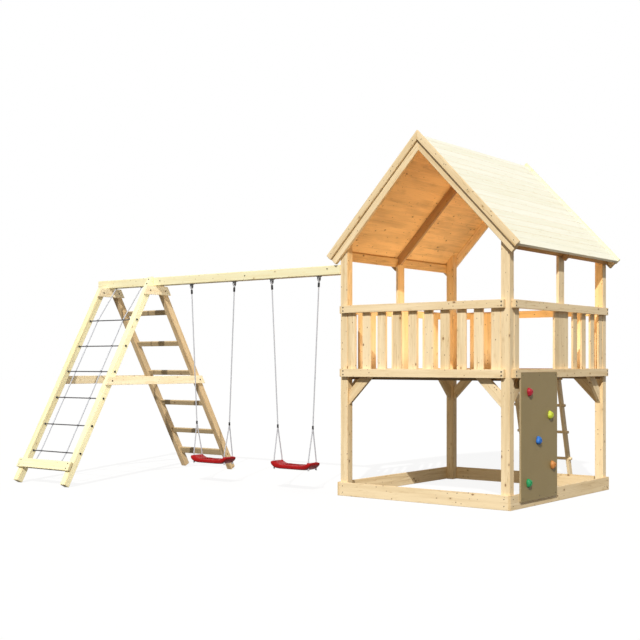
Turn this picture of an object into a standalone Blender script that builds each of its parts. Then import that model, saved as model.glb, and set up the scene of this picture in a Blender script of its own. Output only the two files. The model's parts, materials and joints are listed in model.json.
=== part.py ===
"""Play tower with a swing beam, a climbing frame, a climbing wall and a ladder.

Metres, Z up. The parts are laid out from the front right ground corner of the sandbox,
with X to the right and Y to the rear, and everything is centred over the ground at the end.
"""
import math

import bmesh
import bpy
from mathutils import Matrix, Vector

# Clearances
SEAT = 0.0003            # between two parts that touch
BITE = 0.001             # how far the boards of one panel reach into each other

# Tower
TOWER_W = 1.877          # outside of the sandbox, left to right
TOWER_D = 2.081          # outside of the sandbox, front to rear
BOARD_T = 0.022          # sandbox and eave boards
POST = 0.084
POST_SLIT = 0.002        # between a post and the first baluster
SANDBOX_H = 0.131
PLATFORM_Z = 1.150       # lower edge of the platform boards
PLATFORM_H = 0.0765
RAIL_Z = 1.763           # lower edge of the top rails
RAIL_H = 0.074
RAIL_INSET = 0.058       # from the tower's corner to the end of a rail
RAIL_OUT = 0.018         # how far platform boards and rails stand outside the sandbox
BALUSTERS = 10           # places for balusters on each side
BALUSTER_W = 0.096
BALUSTER_T = 0.020
BALUSTER_Z = 1.160
BALUSTER_DROP = 0.012    # from the rail's top edge down to the baluster's end
RIGHT_DOOR = (1, 2, 3)   # places left open on the right side
REAR_DOOR = (4, 5, 6)    # places left open at the rear
MID_PLANK_W = 0.120
MID_PLANK_T = 0.025

# Deck and knee braces
DECK_TOP = 1.200
PLANK_T = 0.024
PLANKS = 17
PLANK_GAP = 0.004
JOIST_W = 0.034
JOIST_H = 0.052
KNEE_LEG = 0.296         # along the post and along the deck, outer edge
KNEE_W = 0.096
KNEE_T = 0.034

# Roof: depths are measured square to the slope, from the top edge of the bargeboards
APEX_Z = 3.417
PITCH = math.radians(46.26)
SLOPE = 1.5105           # length of a slope from the apex to the eaves
ROOF_TOP = 0.021
ROOF_T = 0.026
ROOF_BOARDS = 16
ROOF_GROOVE = 0.002
BARGE_W = 0.061
BARGE_T = 0.0237
RAFTER_BOTTOM = 0.125
RAFTER_T = 0.036
EAVE_Z = 2.280

# Climbing wall: hold places are y, z
WALL_T = 0.018
WALL_Y = (0.160, 0.868)
WALL_Z = (0.058, 1.198)
HOLD_W = 0.080
HOLD_H = 0.082
HOLD_DEPTH = 0.036
HOLDS = {
    "hold_red": (0.306, 1.026),
    "hold_yellow": (0.712, 0.808),
    "hold_blue": (0.480, 0.587),
    "hold_orange": (0.763, 0.349),
    "hold_green": (0.293, 0.221),
}

# Rear ladder
LADDER_X = (-1.090, -0.578)
LADDER_RAIL_T = 0.028
LADDER_RAIL_W = 0.070
LADDER_OUT = 0.346       # from the tower's rear to the rails' middle line on the ground
LADDER_LEAN = 0.2717     # forward run for each metre of height
LADDER_TOP = 1.215
RUNG_R = 0.015
RUNG_STUB = 0.028        # how far a rung stands out of a rail
RUNG_Z = (0.267, 0.551, 0.836, 1.120)

# Swing beam
BEAM_Y = 0.066
BEAM_W = 0.087
BEAM_Z = 2.142
BEAM_H = 0.093
BEAM_END = -5.392

# Climbing frame legs, two pairs leaning to the beam
LEG = 0.072
LEG_X = (-5.266, -4.494)
LEG_SPREAD = 1.275       # from the beam's middle to a leg's middle line on the ground
LEG_OFF = 0.060          # the same at the middle of the beam
LEG_RISE = 0.010         # how far the inner legs stand over the beam
TIE_T = 0.024
TIE_H = 0.097
TIE_HALF = 0.176
CROSS_T = 0.024
CROSS_H = 0.090
CROSS_Z = 1.048
CROSS_HALF = (0.690, 0.730)
FLAT_RUNG_H = 0.058
FLAT_RUNG_T = 0.025
LOW_RUNG_H = 0.080
FLAT_RUNG_Z = (0.210, 0.465, 0.810, 1.172, 1.510, 1.860)
FOOT_BOARD_Z = 0.187
FOOT_BOARD_W = 0.100
FOOT_BOARD_T = 0.036
FOOT_BOARD_OVER = 0.004  # past the outer faces of the legs

# Rope net
NET_R = 0.0065
NET_X = (-5.100, -4.680)
NET_Z = (0.340, 0.620, 0.905, 1.190, 1.470, 1.760)
NET_KNOT_R = 0.015
NET_FOOT_Z = 0.205
NET_CAP_R = 0.012
NET_CAP_L = 0.010
NET_TOP_OFF = 0.022      # from the beam's middle to the long ropes' upper ends

# Swings: seat middle, then the x of the hangers and of the connectors
SWINGS = {
    "left": (-3.594, (-3.912, -3.285), (-3.833, -3.356)),
    "right": (-2.462, (-2.767, -2.155), (-2.688, -2.232)),
}
PLATE_T = 0.006
PLATE_L = 0.046
PLATE_W = 0.044
CHEEK_T = 0.004
CHEEK_IN = 0.011         # from the middle of a hanger to a cheek
CHEEK_H = 0.044
CHEEK_W = 0.024
PIN_STUB = 0.002         # how far a pin stands out of the cheeks
PIN_R = 0.005
PIN_DROP = 0.034         # from the beam down to the pins
EYE_R = 0.0145
ROPE_R = 0.0065
CONNECTOR_Z = 0.640
CONNECTOR_R = 0.010
CONNECTOR_H = 0.036
SEAT_HALF_L = 0.256
SEAT_HALF_W = 0.090
SEAT_Z = 0.214
HOLE_FROM_END = 0.034
HOLE_FROM_SIDE = 0.028
HOLE_CUT = 0.10          # how far the bores run over and under the seat's height
HOLE_PLAY = 0.0004
SEAT_KNOT_R = 0.012
ROPE_RISE = 0.024        # how far over the seat the branches turn upright
KNOT_SLACK = 0.001       # between a knot and the seat's lower side
# Seat sections: x, half width, lower side and upper side over SEAT_Z
SEAT_SHAPE = (
    (-1.000, 0.078, 0.056, 0.073),
    (-0.965, 0.088, 0.040, 0.079),
    (-0.900, 0.092, 0.023, 0.079),
    (-0.820, 0.092, 0.010, 0.075),
    (-0.720, 0.090, 0.002, 0.060),
    (-0.560, 0.088, 0.000, 0.050),
    (0.000, 0.087, 0.000, 0.047),
    (0.560, 0.088, 0.000, 0.050),
    (0.720, 0.090, 0.002, 0.060),
    (0.820, 0.092, 0.010, 0.075),
    (0.900, 0.092, 0.023, 0.079),
    (0.965, 0.088, 0.040, 0.079),
    (1.000, 0.078, 0.056, 0.073),
)

# Values worked out from the sizes
MID_X = -TOWER_W / 2
MID_Y = TOWER_D / 2
TAN = math.tan(PITCH)
COS = math.cos(PITCH)
SIN = math.sin(PITCH)
ROOF_UNDER = ROOF_TOP + ROOF_T
LADDER_FOOT = TOWER_D + LADDER_OUT
HOLE_X = SEAT_HALF_L - HOLE_FROM_END
HOLE_Y = SEAT_HALF_W - HOLE_FROM_SIDE
LEG_TAN = (LEG_SPREAD - LEG_OFF) / (BEAM_Z + BEAM_H / 2)
LEG_COS = 1 / math.hypot(1, LEG_TAN)
LEG_SIN = LEG_TAN * LEG_COS
PIN_Z = BEAM_Z - PIN_DROP
PANEL_IN = BOARD_T + BALUSTER_T + 2 * BITE
BORE_R = ROPE_R + HOLE_PLAY
EYE_Z = PIN_Z - (EYE_R - ROPE_R - PIN_R - SEAT)


def clear_file():
    """Remove what the start file holds."""
    for ob in list(bpy.data.objects):
        bpy.data.objects.remove(ob, do_unlink=True)


def new_collection(name):
    coll = bpy.data.collections.new(name)
    bpy.context.scene.collection.children.link(coll)
    return coll


clear_file()
MODEL = new_collection("play_tower")
CUTTERS = new_collection("cutters")


def material(name, colour, roughness):
    """A plain Principled material."""
    mat = bpy.data.materials.new(name)
    mat.use_nodes = True
    shader = mat.node_tree.nodes["Principled BSDF"]
    shader.inputs["Base Color"].default_value = (*colour, 1)
    shader.inputs["Roughness"].default_value = roughness
    return mat


def mesh_object(name, mesh):
    ob = bpy.data.objects.new(name, mesh)
    MODEL.objects.link(ob)
    return ob


def from_bmesh(bm):
    mesh = bpy.data.meshes.new("piece")
    bmesh.ops.recalc_face_normals(bm, faces=bm.faces)
    bm.to_mesh(mesh)
    bm.free()
    return mesh_object("piece", mesh)


def box(x, y, z):
    """A box between three pairs of coordinates."""
    bm = bmesh.new()
    bmesh.ops.create_cube(bm, size=1)
    size = Vector((x[1] - x[0], y[1] - y[0], z[1] - z[0]))
    middle = Vector((x[1] + x[0], y[1] + y[0], z[1] + z[0])) / 2
    bmesh.ops.scale(bm, vec=size, verts=bm.verts)
    bmesh.ops.translate(bm, vec=middle, verts=bm.verts)
    return from_bmesh(bm)


def curve_to_mesh(curve_ob):
    """Take the finished mesh of a curve and remove the curve."""
    bpy.context.view_layer.update()
    graph = bpy.context.evaluated_depsgraph_get()
    mesh = bpy.data.meshes.new_from_object(curve_ob.evaluated_get(graph))
    matrix = curve_ob.matrix_world.copy()
    bpy.data.objects.remove(curve_ob, do_unlink=True)
    bm = bmesh.new()
    bm.from_mesh(mesh)
    bmesh.ops.remove_doubles(bm, verts=bm.verts, dist=0.00001)
    bmesh.ops.recalc_face_normals(bm, faces=bm.faces)
    bm.to_mesh(mesh)
    bm.free()
    ob = mesh_object("piece", mesh)
    ob.matrix_world = matrix
    return ob


def poly_curve(points, dimensions, closed):
    curve = bpy.data.curves.new("line", "CURVE")
    curve.dimensions = dimensions
    spline = curve.splines.new("POLY")
    spline.points.add(len(points) - 1)
    for spot, point in zip(spline.points, points):
        spot.co = (*point, 0, 1)[:4] if len(point) == 2 else (*point, 1)
    spline.use_cyclic_u = closed
    ob = bpy.data.objects.new("line", curve)
    MODEL.objects.link(ob)
    return ob


def slab(axis, outline, lo, hi):
    """A flat outline drawn in (x, z) or (y, z), pushed along Y or X from lo to hi."""
    ob = poly_curve(outline, "2D", True)
    ob.data.fill_mode = "BOTH"
    ob.data.extrude = (hi - lo) / 2
    middle = (hi + lo) / 2
    if axis == "Y":
        ob.location = (0, middle, 0)
        ob.rotation_euler = (math.pi / 2, 0, 0)
    else:
        ob.location = (middle, 0, 0)
        ob.rotation_euler = (math.pi / 2, 0, math.pi / 2)
    return curve_to_mesh(ob)


def tube(points, radius):
    """A rope or rod along a line of points."""
    ob = poly_curve(points, "3D", False)
    ob.data.bevel_depth = radius
    ob.data.bevel_resolution = 2
    ob.data.use_fill_caps = True
    return curve_to_mesh(ob)


def cylinder_x(x, y, z, radius, sides):
    """A round bar along X between a pair of x."""
    bpy.ops.mesh.primitive_cylinder_add(
        vertices=sides,
        radius=radius,
        depth=x[1] - x[0],
        location=((x[0] + x[1]) / 2, y, z),
        rotation=(0, math.pi / 2, 0),
    )
    return keep_new()


def cylinder_z(x, y, z, radius, sides):
    """A round bar along Z between a pair of z."""
    bpy.ops.mesh.primitive_cylinder_add(
        vertices=sides,
        radius=radius,
        depth=z[1] - z[0],
        location=(x, y, (z[0] + z[1]) / 2),
    )
    return keep_new()


def keep_new():
    """Move the newest object from the default collection to the model's."""
    ob = bpy.context.active_object
    for coll in list(ob.users_collection):
        coll.objects.unlink(ob)
    MODEL.objects.link(ob)
    return ob


def knot(place, radius):
    """A small round knot."""
    bm = bmesh.new()
    bmesh.ops.create_icosphere(bm, subdivisions=2, radius=radius)
    bmesh.ops.translate(bm, vec=place, verts=bm.verts)
    return from_bmesh(bm)


def fuse(name, pieces, mat):
    """Join overlapping pieces to one closed solid with the part's name."""
    base = pieces[0]
    for piece in pieces[1:]:
        mod = base.modifiers.new("join", "BOOLEAN")
        mod.operation = "UNION"
        mod.solver = "EXACT"
        mod.object = piece
    bpy.context.view_layer.update()
    graph = bpy.context.evaluated_depsgraph_get()
    mesh = bpy.data.meshes.new_from_object(base.evaluated_get(graph))
    mesh.transform(base.matrix_world)
    for piece in pieces:
        bpy.data.objects.remove(piece, do_unlink=True)
    ob = mesh_object(name, mesh)
    mesh.name = name
    mesh.materials.clear()
    mesh.materials.append(mat)
    return ob


def cut(ob, cutter, name):
    """Take a cutter's shape out of a part."""
    MODEL.objects.unlink(cutter)
    CUTTERS.objects.link(cutter)
    cutter.name = name
    cutter.hide_render = True
    cutter.display_type = "WIRE"
    mod = ob.modifiers.new("cut", "BOOLEAN")
    mod.operation = "DIFFERENCE"
    mod.solver = "EXACT"
    mod.object = cutter


def named(name, piece, mat):
    """A part that is a single piece."""
    return fuse(name, [piece], mat)


def roof_z(x, depth):
    """Height of the slope at x, at a depth under the bargeboard's top edge."""
    return APEX_Z - abs(x - MID_X) * TAN - depth / COS


def slope_point(side, along, depth):
    """A point of the slope's section: along the slope, and square under its top edge."""
    across = along * COS - depth * SIN
    return (MID_X + side * across, APEX_Z - along * SIN - depth * COS)


def chevron(top, bottom, y):
    """A pair of boards that meet under the apex."""
    outline = [
        slope_point(-1, SLOPE, top),
        (MID_X, APEX_Z - top / COS),
        slope_point(1, SLOPE, top),
        slope_point(1, SLOPE, bottom),
        (MID_X, APEX_Z - bottom / COS),
        slope_point(-1, SLOPE, bottom),
    ]
    return slab("Y", outline, *y)


def mirror_pair(lo, hi, middle):
    """A pair of coordinates and its mirror image."""
    return ((lo, hi), (2 * middle - hi, 2 * middle - lo))


def posts(mat):
    """Four corner posts, cut to the slope of the roof boards."""
    xs = mirror_pair(-BOARD_T - POST, -BOARD_T, MID_X)
    ys = mirror_pair(BOARD_T, BOARD_T + POST, MID_Y)
    for side, x in zip(("right", "left"), xs):
        for end, y in zip(("front", "rear"), ys):
            outline = [
                (x[0], 0),
                (x[1], 0),
                (x[1], roof_z(x[1], ROOF_UNDER) - SEAT),
                (x[0], roof_z(x[0], ROOF_UNDER) - SEAT),
            ]
            named(f"post_{end}_{side}", slab("Y", outline, *y), mat)


def sandbox(mat):
    """Four boards on edge round the posts, the side boards over the ends of the others."""
    z = (0, SANDBOX_H)
    for side, x in zip(("right", "left"), mirror_pair(SEAT - BOARD_T, 0, MID_X)):
        named(f"sandbox_{side}", box(x, (0, TOWER_D), z), mat)
    between = (BOARD_T - TOWER_W, -BOARD_T)
    for end, y in zip(("front", "rear"), mirror_pair(0, BOARD_T - SEAT, MID_Y)):
        named(f"sandbox_{end}", box(between, y, z), mat)


def baluster_places(span):
    """Near edges of the balusters, from one end of a side to the other."""
    first = BOARD_T + POST + POST_SLIT
    pitch = (span - 2 * first - BALUSTER_W) / (BALUSTERS - 1)
    return [first + k * pitch for k in range(BALUSTERS)]


def panel(name, span, open_places, place, mat, more=()):
    """Platform board, top rail and balusters of one side, screwed together."""
    ends = (RAIL_INSET, span - RAIL_INSET)
    board = (-RAIL_OUT, BOARD_T - SEAT)
    behind = (BOARD_T - SEAT - BITE, BOARD_T - SEAT - BITE + BALUSTER_T)
    levels = ((PLATFORM_Z, PLATFORM_Z + PLATFORM_H), (RAIL_Z, RAIL_Z + RAIL_H))
    pieces = [place(ends, board, z) for z in levels]
    tall = (BALUSTER_Z, RAIL_Z + RAIL_H - BALUSTER_DROP)
    for k, start in enumerate(baluster_places(span)):
        if k not in open_places:
            pieces.append(place((start, start + BALUSTER_W), behind, tall))
    return fuse(name, pieces + list(more), mat)


def mid_plank(side):
    """The plank halfway along a side, up to the middle rafter."""
    outer = BOARD_T - SEAT - BITE
    xs = [MID_X + side * (TOWER_W / 2 - depth) for depth in (outer, outer + MID_PLANK_T)]
    outline = [
        (xs[0], BALUSTER_Z),
        (xs[1], BALUSTER_Z),
        (xs[1], roof_z(xs[1], RAFTER_BOTTOM) - SEAT),
        (xs[0], roof_z(xs[0], RAFTER_BOTTOM) - SEAT),
    ]
    return slab("Y", outline, MID_Y - MID_PLANK_W / 2, MID_Y + MID_PLANK_W / 2)


def railings(mat):
    """The four railing panels with their platform boards."""
    def at_front(along, deep, z):
        return box((along[0] - TOWER_W, along[1] - TOWER_W), deep, z)

    def at_rear(along, deep, z):
        y = (TOWER_D - deep[1], TOWER_D - deep[0])
        return box((along[0] - TOWER_W, along[1] - TOWER_W), y, z)

    def at_right(along, deep, z):
        return box((-deep[1], -deep[0]), along, z)

    def at_left(along, deep, z):
        return box((deep[0] - TOWER_W, deep[1] - TOWER_W), along, z)

    panel("railing_front", TOWER_W, (), at_front, mat)
    panel("railing_rear", TOWER_W, REAR_DOOR, at_rear, mat)
    panel("railing_left", TOWER_D, (), at_left, mat, [mid_plank(-1)])
    right = panel("railing_right", TOWER_D, RIGHT_DOOR, at_right, mat, [mid_plank(1)])
    # The climbing wall is let into the platform board.
    wall_y = (WALL_Y[0] - SEAT, WALL_Y[1] + SEAT)
    wall_z = (PLATFORM_Z - RAIL_OUT, WALL_Z[1] + SEAT)
    cut(right, box((0, 2 * RAIL_OUT), wall_y, wall_z), "wall_rebate")


def deck(mat):
    """Planks from front to rear on three joists."""
    z = (DECK_TOP - PLANK_T, DECK_TOP)
    inner = BOARD_T + POST + SEAT
    y = (PANEL_IN, TOWER_D - PANEL_IN)
    first = inner - TOWER_W + PLANK_GAP / 2
    pitch = (TOWER_W - 2 * inner) / PLANKS
    pieces = []
    for k in range(PLANKS):
        left = first + k * pitch
        pieces.append(box((left, left + pitch - PLANK_GAP), y, z))
    side_y = (inner, TOWER_D - inner)
    for x in mirror_pair(-inner + PLANK_GAP / 2, -PANEL_IN - 0.004, MID_X):
        pieces.append(box(x, side_y, z))
    joist_x = (PANEL_IN + 0.006 - TOWER_W, -PANEL_IN - 0.006)
    joist_z = (z[0] - JOIST_H, z[0] + BITE)
    middles = (inner + JOIST_W / 2, MID_Y, TOWER_D - inner - JOIST_W / 2)
    for middle in middles:
        joist_y = (middle - JOIST_W / 2, middle + JOIST_W / 2)
        pieces.append(box(joist_x, joist_y, joist_z))
    fuse("deck", pieces, mat)


def knee_outline(face, turn):
    """Section of a knee brace from a post's face up to the deck."""
    top = DECK_TOP - PLANK_T - SEAT
    wide = KNEE_W * math.sqrt(2)
    start = face + turn * SEAT
    return [
        (start, top - KNEE_LEG),
        (start + turn * KNEE_LEG, top),
        (start + turn * (KNEE_LEG - wide), top),
        (start, top - KNEE_LEG + wide),
    ]


def knee_braces(mat):
    """Eight slanting braces under the deck, two at each post."""
    inner = BOARD_T + POST
    middle = BOARD_T + POST / 2
    half = KNEE_T / 2
    for side, sign in (("right", 1), ("left", -1)):
        face_x = MID_X + sign * (TOWER_W / 2 - inner)
        line_x = MID_X + sign * (TOWER_W / 2 - middle)
        for end, turn in (("front", 1), ("rear", -1)):
            face_y = MID_Y - turn * (TOWER_D / 2 - inner)
            line_y = MID_Y - turn * (TOWER_D / 2 - middle)
            along_x = slab("Y", knee_outline(face_x, -sign), line_y - half, line_y + half)
            named(f"knee_{end}_{side}_across", along_x, mat)
            along_y = slab("X", knee_outline(face_y, turn), line_x - half, line_x + half)
            named(f"knee_{end}_{side}_along", along_y, mat)


def rafters(mat):
    """Three pairs: in front of the front posts, in the middle, behind the rear posts."""
    top = ROOF_UNDER + SEAT
    y = (BOARD_T - SEAT - RAFTER_T, BOARD_T - SEAT)
    ends = mirror_pair(*y, MID_Y)
    named("rafters_front", chevron(top, RAFTER_BOTTOM, ends[0]), mat)
    named("rafters_rear", chevron(top, RAFTER_BOTTOM, ends[1]), mat)
    middle = (MID_Y - RAFTER_T / 2, MID_Y + RAFTER_T / 2)
    named("rafters_middle", chevron(top, RAFTER_BOTTOM, middle), mat)


def eave_boards(mat):
    """Four boards on the posts' outer faces, between the rafters."""
    top = roof_z(0, ROOF_UNDER) - SEAT
    front = (BOARD_T, MID_Y - RAFTER_T / 2 - SEAT)
    for side, x in zip(("right", "left"), mirror_pair(SEAT - BOARD_T, 0, MID_X)):
        for end, y in zip(("front", "rear"), mirror_pair(*front, MID_Y)):
            named(f"eave_{end}_{side}", box(x, y, (EAVE_Z, top)), mat)


def roof_outline(side):
    """Section of one slope with a fine groove at every board joint, above and below."""
    edge = MID_X + side * SEAT / 2
    steps = [SLOPE * k / ROOF_BOARDS for k in range(2, ROOF_BOARDS)]
    points = [(edge, roof_z(edge, ROOF_TOP))]
    for along in steps:
        points.append(slope_point(side, along - ROOF_GROOVE, ROOF_TOP))
        points.append(slope_point(side, along, ROOF_TOP + ROOF_GROOVE))
        points.append(slope_point(side, along + ROOF_GROOVE, ROOF_TOP))
    points.append(slope_point(side, SLOPE, ROOF_TOP))
    points.append(slope_point(side, SLOPE, ROOF_UNDER))
    for along in reversed(steps):
        points.append(slope_point(side, along + ROOF_GROOVE, ROOF_UNDER))
        points.append(slope_point(side, along, ROOF_UNDER - ROOF_GROOVE))
        points.append(slope_point(side, along - ROOF_GROOVE, ROOF_UNDER))
    points.append((edge, roof_z(edge, ROOF_UNDER)))
    return points


def roof(mat):
    """The two boarded slopes, between the bargeboards."""
    y = (BOARD_T - SEAT - RAFTER_T, TOWER_D - BOARD_T + SEAT + RAFTER_T)
    named("roof_right", slab("Y", roof_outline(1), *y), mat)
    named("roof_left", slab("Y", roof_outline(-1), *y), mat)


def bargeboards(mat):
    """The boards over the ends of the roof, front and rear."""
    back = BOARD_T - 2 * SEAT - RAFTER_T
    ends = mirror_pair(back - BARGE_T, back, MID_Y)
    for end, y in zip(("front", "rear"), ends):
        named(f"bargeboards_{end}", chevron(0, BARGE_W, y), mat)


def climbing_wall(mat):
    x = (SEAT, SEAT + WALL_T)
    named("climbing_wall", box(x, WALL_Y, WALL_Z), mat)


def hold(name, place, mat):
    """A moulded hold with a flat back and a lumpy face."""
    bm = bmesh.new()
    bmesh.ops.create_icosphere(bm, subdivisions=2, radius=1)
    bmesh.ops.bisect_plane(
        bm,
        geom=bm.verts[:] + bm.edges[:] + bm.faces[:],
        plane_co=(0, 0, 0),
        plane_no=(-1, 0, 0),
        clear_outer=True,
    )
    bmesh.ops.holes_fill(bm, edges=bm.edges, sides=0)
    for vert in bm.verts:
        turn = math.atan2(vert.co.z, vert.co.y)
        lump = 1 + 0.09 * math.sin(3 * turn + place[0] * 20)
        vert.co.y *= lump * HOLD_W / 2
        vert.co.z *= lump * HOLD_H / 2
        vert.co.x *= HOLD_DEPTH
    back = WALL_T + 2 * SEAT
    bmesh.ops.translate(bm, vec=(back, *place), verts=bm.verts)
    named(name, from_bmesh(bm), mat)


def ladder(mat):
    """Two leaning rails with four round rungs, its top against the rear platform board."""
    half = LADDER_RAIL_W / 2 * math.hypot(1, LADDER_LEAN)
    face = TOWER_D + RAIL_OUT + SEAT
    meet = (LADDER_FOOT - half - face) / LADDER_LEAN
    outline = [
        (LADDER_FOOT - half, 0),
        (LADDER_FOOT + half, 0),
        (LADDER_FOOT + half - LADDER_LEAN * LADDER_TOP, LADDER_TOP),
        (face, LADDER_TOP),
        (face, meet),
    ]
    pieces = []
    for x in LADDER_X:
        pieces.append(slab("X", outline, x - LADDER_RAIL_T / 2, x + LADDER_RAIL_T / 2))
    reach = LADDER_RAIL_T / 2 + RUNG_STUB
    x = (LADDER_X[0] - reach, LADDER_X[1] + reach)
    for z in RUNG_Z:
        pieces.append(cylinder_x(x, LADDER_FOOT - LADDER_LEAN * z, z, RUNG_R, 16))
    fuse("ladder", pieces, mat)


def beam(mat):
    x = (BEAM_END, -TOWER_W + BOARD_T - SEAT)
    y = (BEAM_Y - BEAM_W / 2, BEAM_Y + BEAM_W / 2)
    named("swing_beam", box(x, y, (BEAM_Z, BEAM_Z + BEAM_H)), mat)


def leg_off(z):
    """Distance of a leg's middle line from the beam's middle at a height."""
    return LEG_SPREAD - LEG_TAN * z


def leg(index, sign):
    """One leg; the inner pair laps the beam's faces and the outer pair stops under it."""
    half = LEG / 2 / LEG_COS
    lift = LEG / 2 * LEG_SIN
    shift = LEG / 2 * LEG_COS
    foot = leg_off(lift)
    corners = [(foot - shift, 0), (foot + shift, 2 * lift)]
    if index == 0:
        top = BEAM_Z - SEAT
        corners += [(leg_off(top) + half, top), (leg_off(top) - half, top)]
    else:
        top = BEAM_Z + BEAM_H + LEG_RISE
        flat = BEAM_W / 2 + SEAT
        start = (LEG_SPREAD - half - flat) / LEG_TAN
        corners += [(leg_off(top) + half, top), (flat, top), (flat, start)]
    outline = [(BEAM_Y + sign * off, z) for off, z in corners]
    return slab("X", outline, LEG_X[index] - LEG / 2, LEG_X[index] + LEG / 2)


def slanted(sign, z, out, tall, thick, x):
    """A board between the legs of one side, turned with them and set out from their middle."""
    along = Vector((-sign * LEG_SIN, LEG_COS))
    away = Vector((sign * LEG_COS, LEG_SIN))
    middle = Vector((BEAM_Y + sign * leg_off(z), z)) + away * out
    corners = [
        middle - along * tall / 2 - away * thick / 2,
        middle + along * tall / 2 - away * thick / 2,
        middle + along * tall / 2 + away * thick / 2,
        middle - along * tall / 2 + away * thick / 2,
    ]
    return slab("X", [tuple(corner) for corner in corners], *x)


def climbing_frame(mat):
    """Net side legs, the rung ladder, ties, cross boards and the foot board."""
    named("net_leg_outer", leg(0, -1), mat)
    named("net_leg_inner", leg(1, -1), mat)
    pieces = [leg(0, 1), leg(1, 1)]
    between = (LEG_X[0] + LEG / 2 - BITE, LEG_X[1] - LEG / 2 + BITE)
    for k, z in enumerate(FLAT_RUNG_Z):
        tall = LOW_RUNG_H if k == 0 else FLAT_RUNG_H
        pieces.append(slanted(1, z, 0, tall, FLAT_RUNG_T, between))
    fuse("rung_ladder", pieces, mat)
    over = LEG / 2 + FOOT_BOARD_OVER
    x = (LEG_X[0] - over, LEG_X[1] + over)
    out = LEG / 2 + SEAT + FOOT_BOARD_T / 2
    foot_board = slanted(-1, FOOT_BOARD_Z, out, FOOT_BOARD_W, FOOT_BOARD_T, x)
    named("net_foot_board", foot_board, mat)
    for k, name in enumerate(("outer", "inner")):
        face = LEG_X[k] + LEG / 2 + SEAT
        tie = level_board(BEAM_Z - SEAT - TIE_H, TIE_H, TIE_HALF)
        named(f"tie_{name}", slab("X", tie, face, face + TIE_T), mat)
    # The cross boards lie on the outer sides of the two pairs.
    cross = level_board(CROSS_Z, CROSS_H, CROSS_HALF[0])
    face = LEG_X[0] - LEG / 2 - SEAT
    named("cross_outer", slab("X", cross, face - CROSS_T, face), mat)
    cross = level_board(CROSS_Z, CROSS_H, CROSS_HALF[1])
    face = LEG_X[1] + LEG / 2 + SEAT
    named("cross_inner", slab("X", cross, face, face + CROSS_T), mat)


def level_board(z, tall, half):
    """Outline of a level board with its ends cut parallel to the legs."""
    rake = LEG_TAN * tall / 2
    return [
        (BEAM_Y - half - rake, z),
        (BEAM_Y + half + rake, z),
        (BEAM_Y + half - rake, z + tall),
        (BEAM_Y - half + rake, z + tall),
    ]


def net_point(x, z):
    return (x, BEAM_Y - leg_off(z), z)


def rope_net(mat):
    """Two long ropes and six cross ropes, knotted where they meet."""
    ends = (LEG_X[0] + LEG / 2 + SEAT, LEG_X[1] - LEG / 2 - SEAT)
    top = BEAM_Z - SEAT
    away = Vector((0, -LEG_COS, LEG_SIN)) * (LEG / 2 - NET_KNOT_R)
    pieces = []
    for x in NET_X:
        foot = Vector(net_point(x, NET_FOOT_Z)) + away
        line = [tuple(foot)]
        line += [net_point(x, z) for z in NET_Z]
        line.append((x, BEAM_Y - NET_TOP_OFF, top - NET_CAP_L / 2))
        pieces.append(tube(line, NET_R))
        pieces.append(knot(foot, NET_KNOT_R))
        cap = (top - NET_CAP_L, top)
        pieces.append(cylinder_z(x, BEAM_Y - NET_TOP_OFF, cap, NET_CAP_R, 12))
    for z in NET_Z:
        y = BEAM_Y - leg_off(z)
        pieces.append(cylinder_x(ends, y, z, NET_R, 8))
        pieces.append(cylinder_x((ends[0], ends[0] + NET_CAP_L), y, z, NET_CAP_R, 12))
        pieces.append(cylinder_x((ends[1] - NET_CAP_L, ends[1]), y, z, NET_CAP_R, 12))
        for x in NET_X:
            pieces.append(knot(net_point(x, z), NET_KNOT_R))
    fuse("rope_net", pieces, mat)


def hanger(name, x, mat):
    """A plate under the beam with two cheeks and a pin along X."""
    top = BEAM_Z - SEAT
    plate_x = (x - PLATE_L / 2, x + PLATE_L / 2)
    plate_y = (BEAM_Y - PLATE_W / 2, BEAM_Y + PLATE_W / 2)
    cheek_y = (BEAM_Y - CHEEK_W / 2, BEAM_Y + CHEEK_W / 2)
    cheek_z = (top - CHEEK_H, top - PLATE_T + BITE)
    pieces = [box(plate_x, plate_y, (top - PLATE_T, top))]
    for cheek_x in mirror_pair(x + CHEEK_IN, x + CHEEK_IN + CHEEK_T, x):
        pieces.append(box(cheek_x, cheek_y, cheek_z))
    reach = CHEEK_IN + CHEEK_T + PIN_STUB
    pieces.append(cylinder_x((x - reach, x + reach), BEAM_Y, PIN_Z, PIN_R, 12))
    fuse(name, pieces, mat)


def eye(x):
    """The rope's eye, hanging on a pin."""
    bpy.ops.mesh.primitive_torus_add(
        location=(x, BEAM_Y, EYE_Z),
        rotation=(0, math.pi / 2, 0),
        major_radius=EYE_R,
        minor_radius=ROPE_R,
        major_segments=16,
        minor_segments=8,
    )
    return keep_new()


def seat_height(x):
    """Lower and upper side of the seat at a distance from its middle."""
    rows = [(row[0] * SEAT_HALF_L, row[2], row[3]) for row in SEAT_SHAPE]
    for (a, low_a, high_a), (b, low_b, high_b) in zip(rows, rows[1:]):
        if a <= x <= b:
            part = (x - a) / (b - a)
            low = low_a + part * (low_b - low_a)
            high = high_a + part * (high_b - high_a)
            return SEAT_Z + low, SEAT_Z + high
    return SEAT_Z, SEAT_Z


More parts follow.
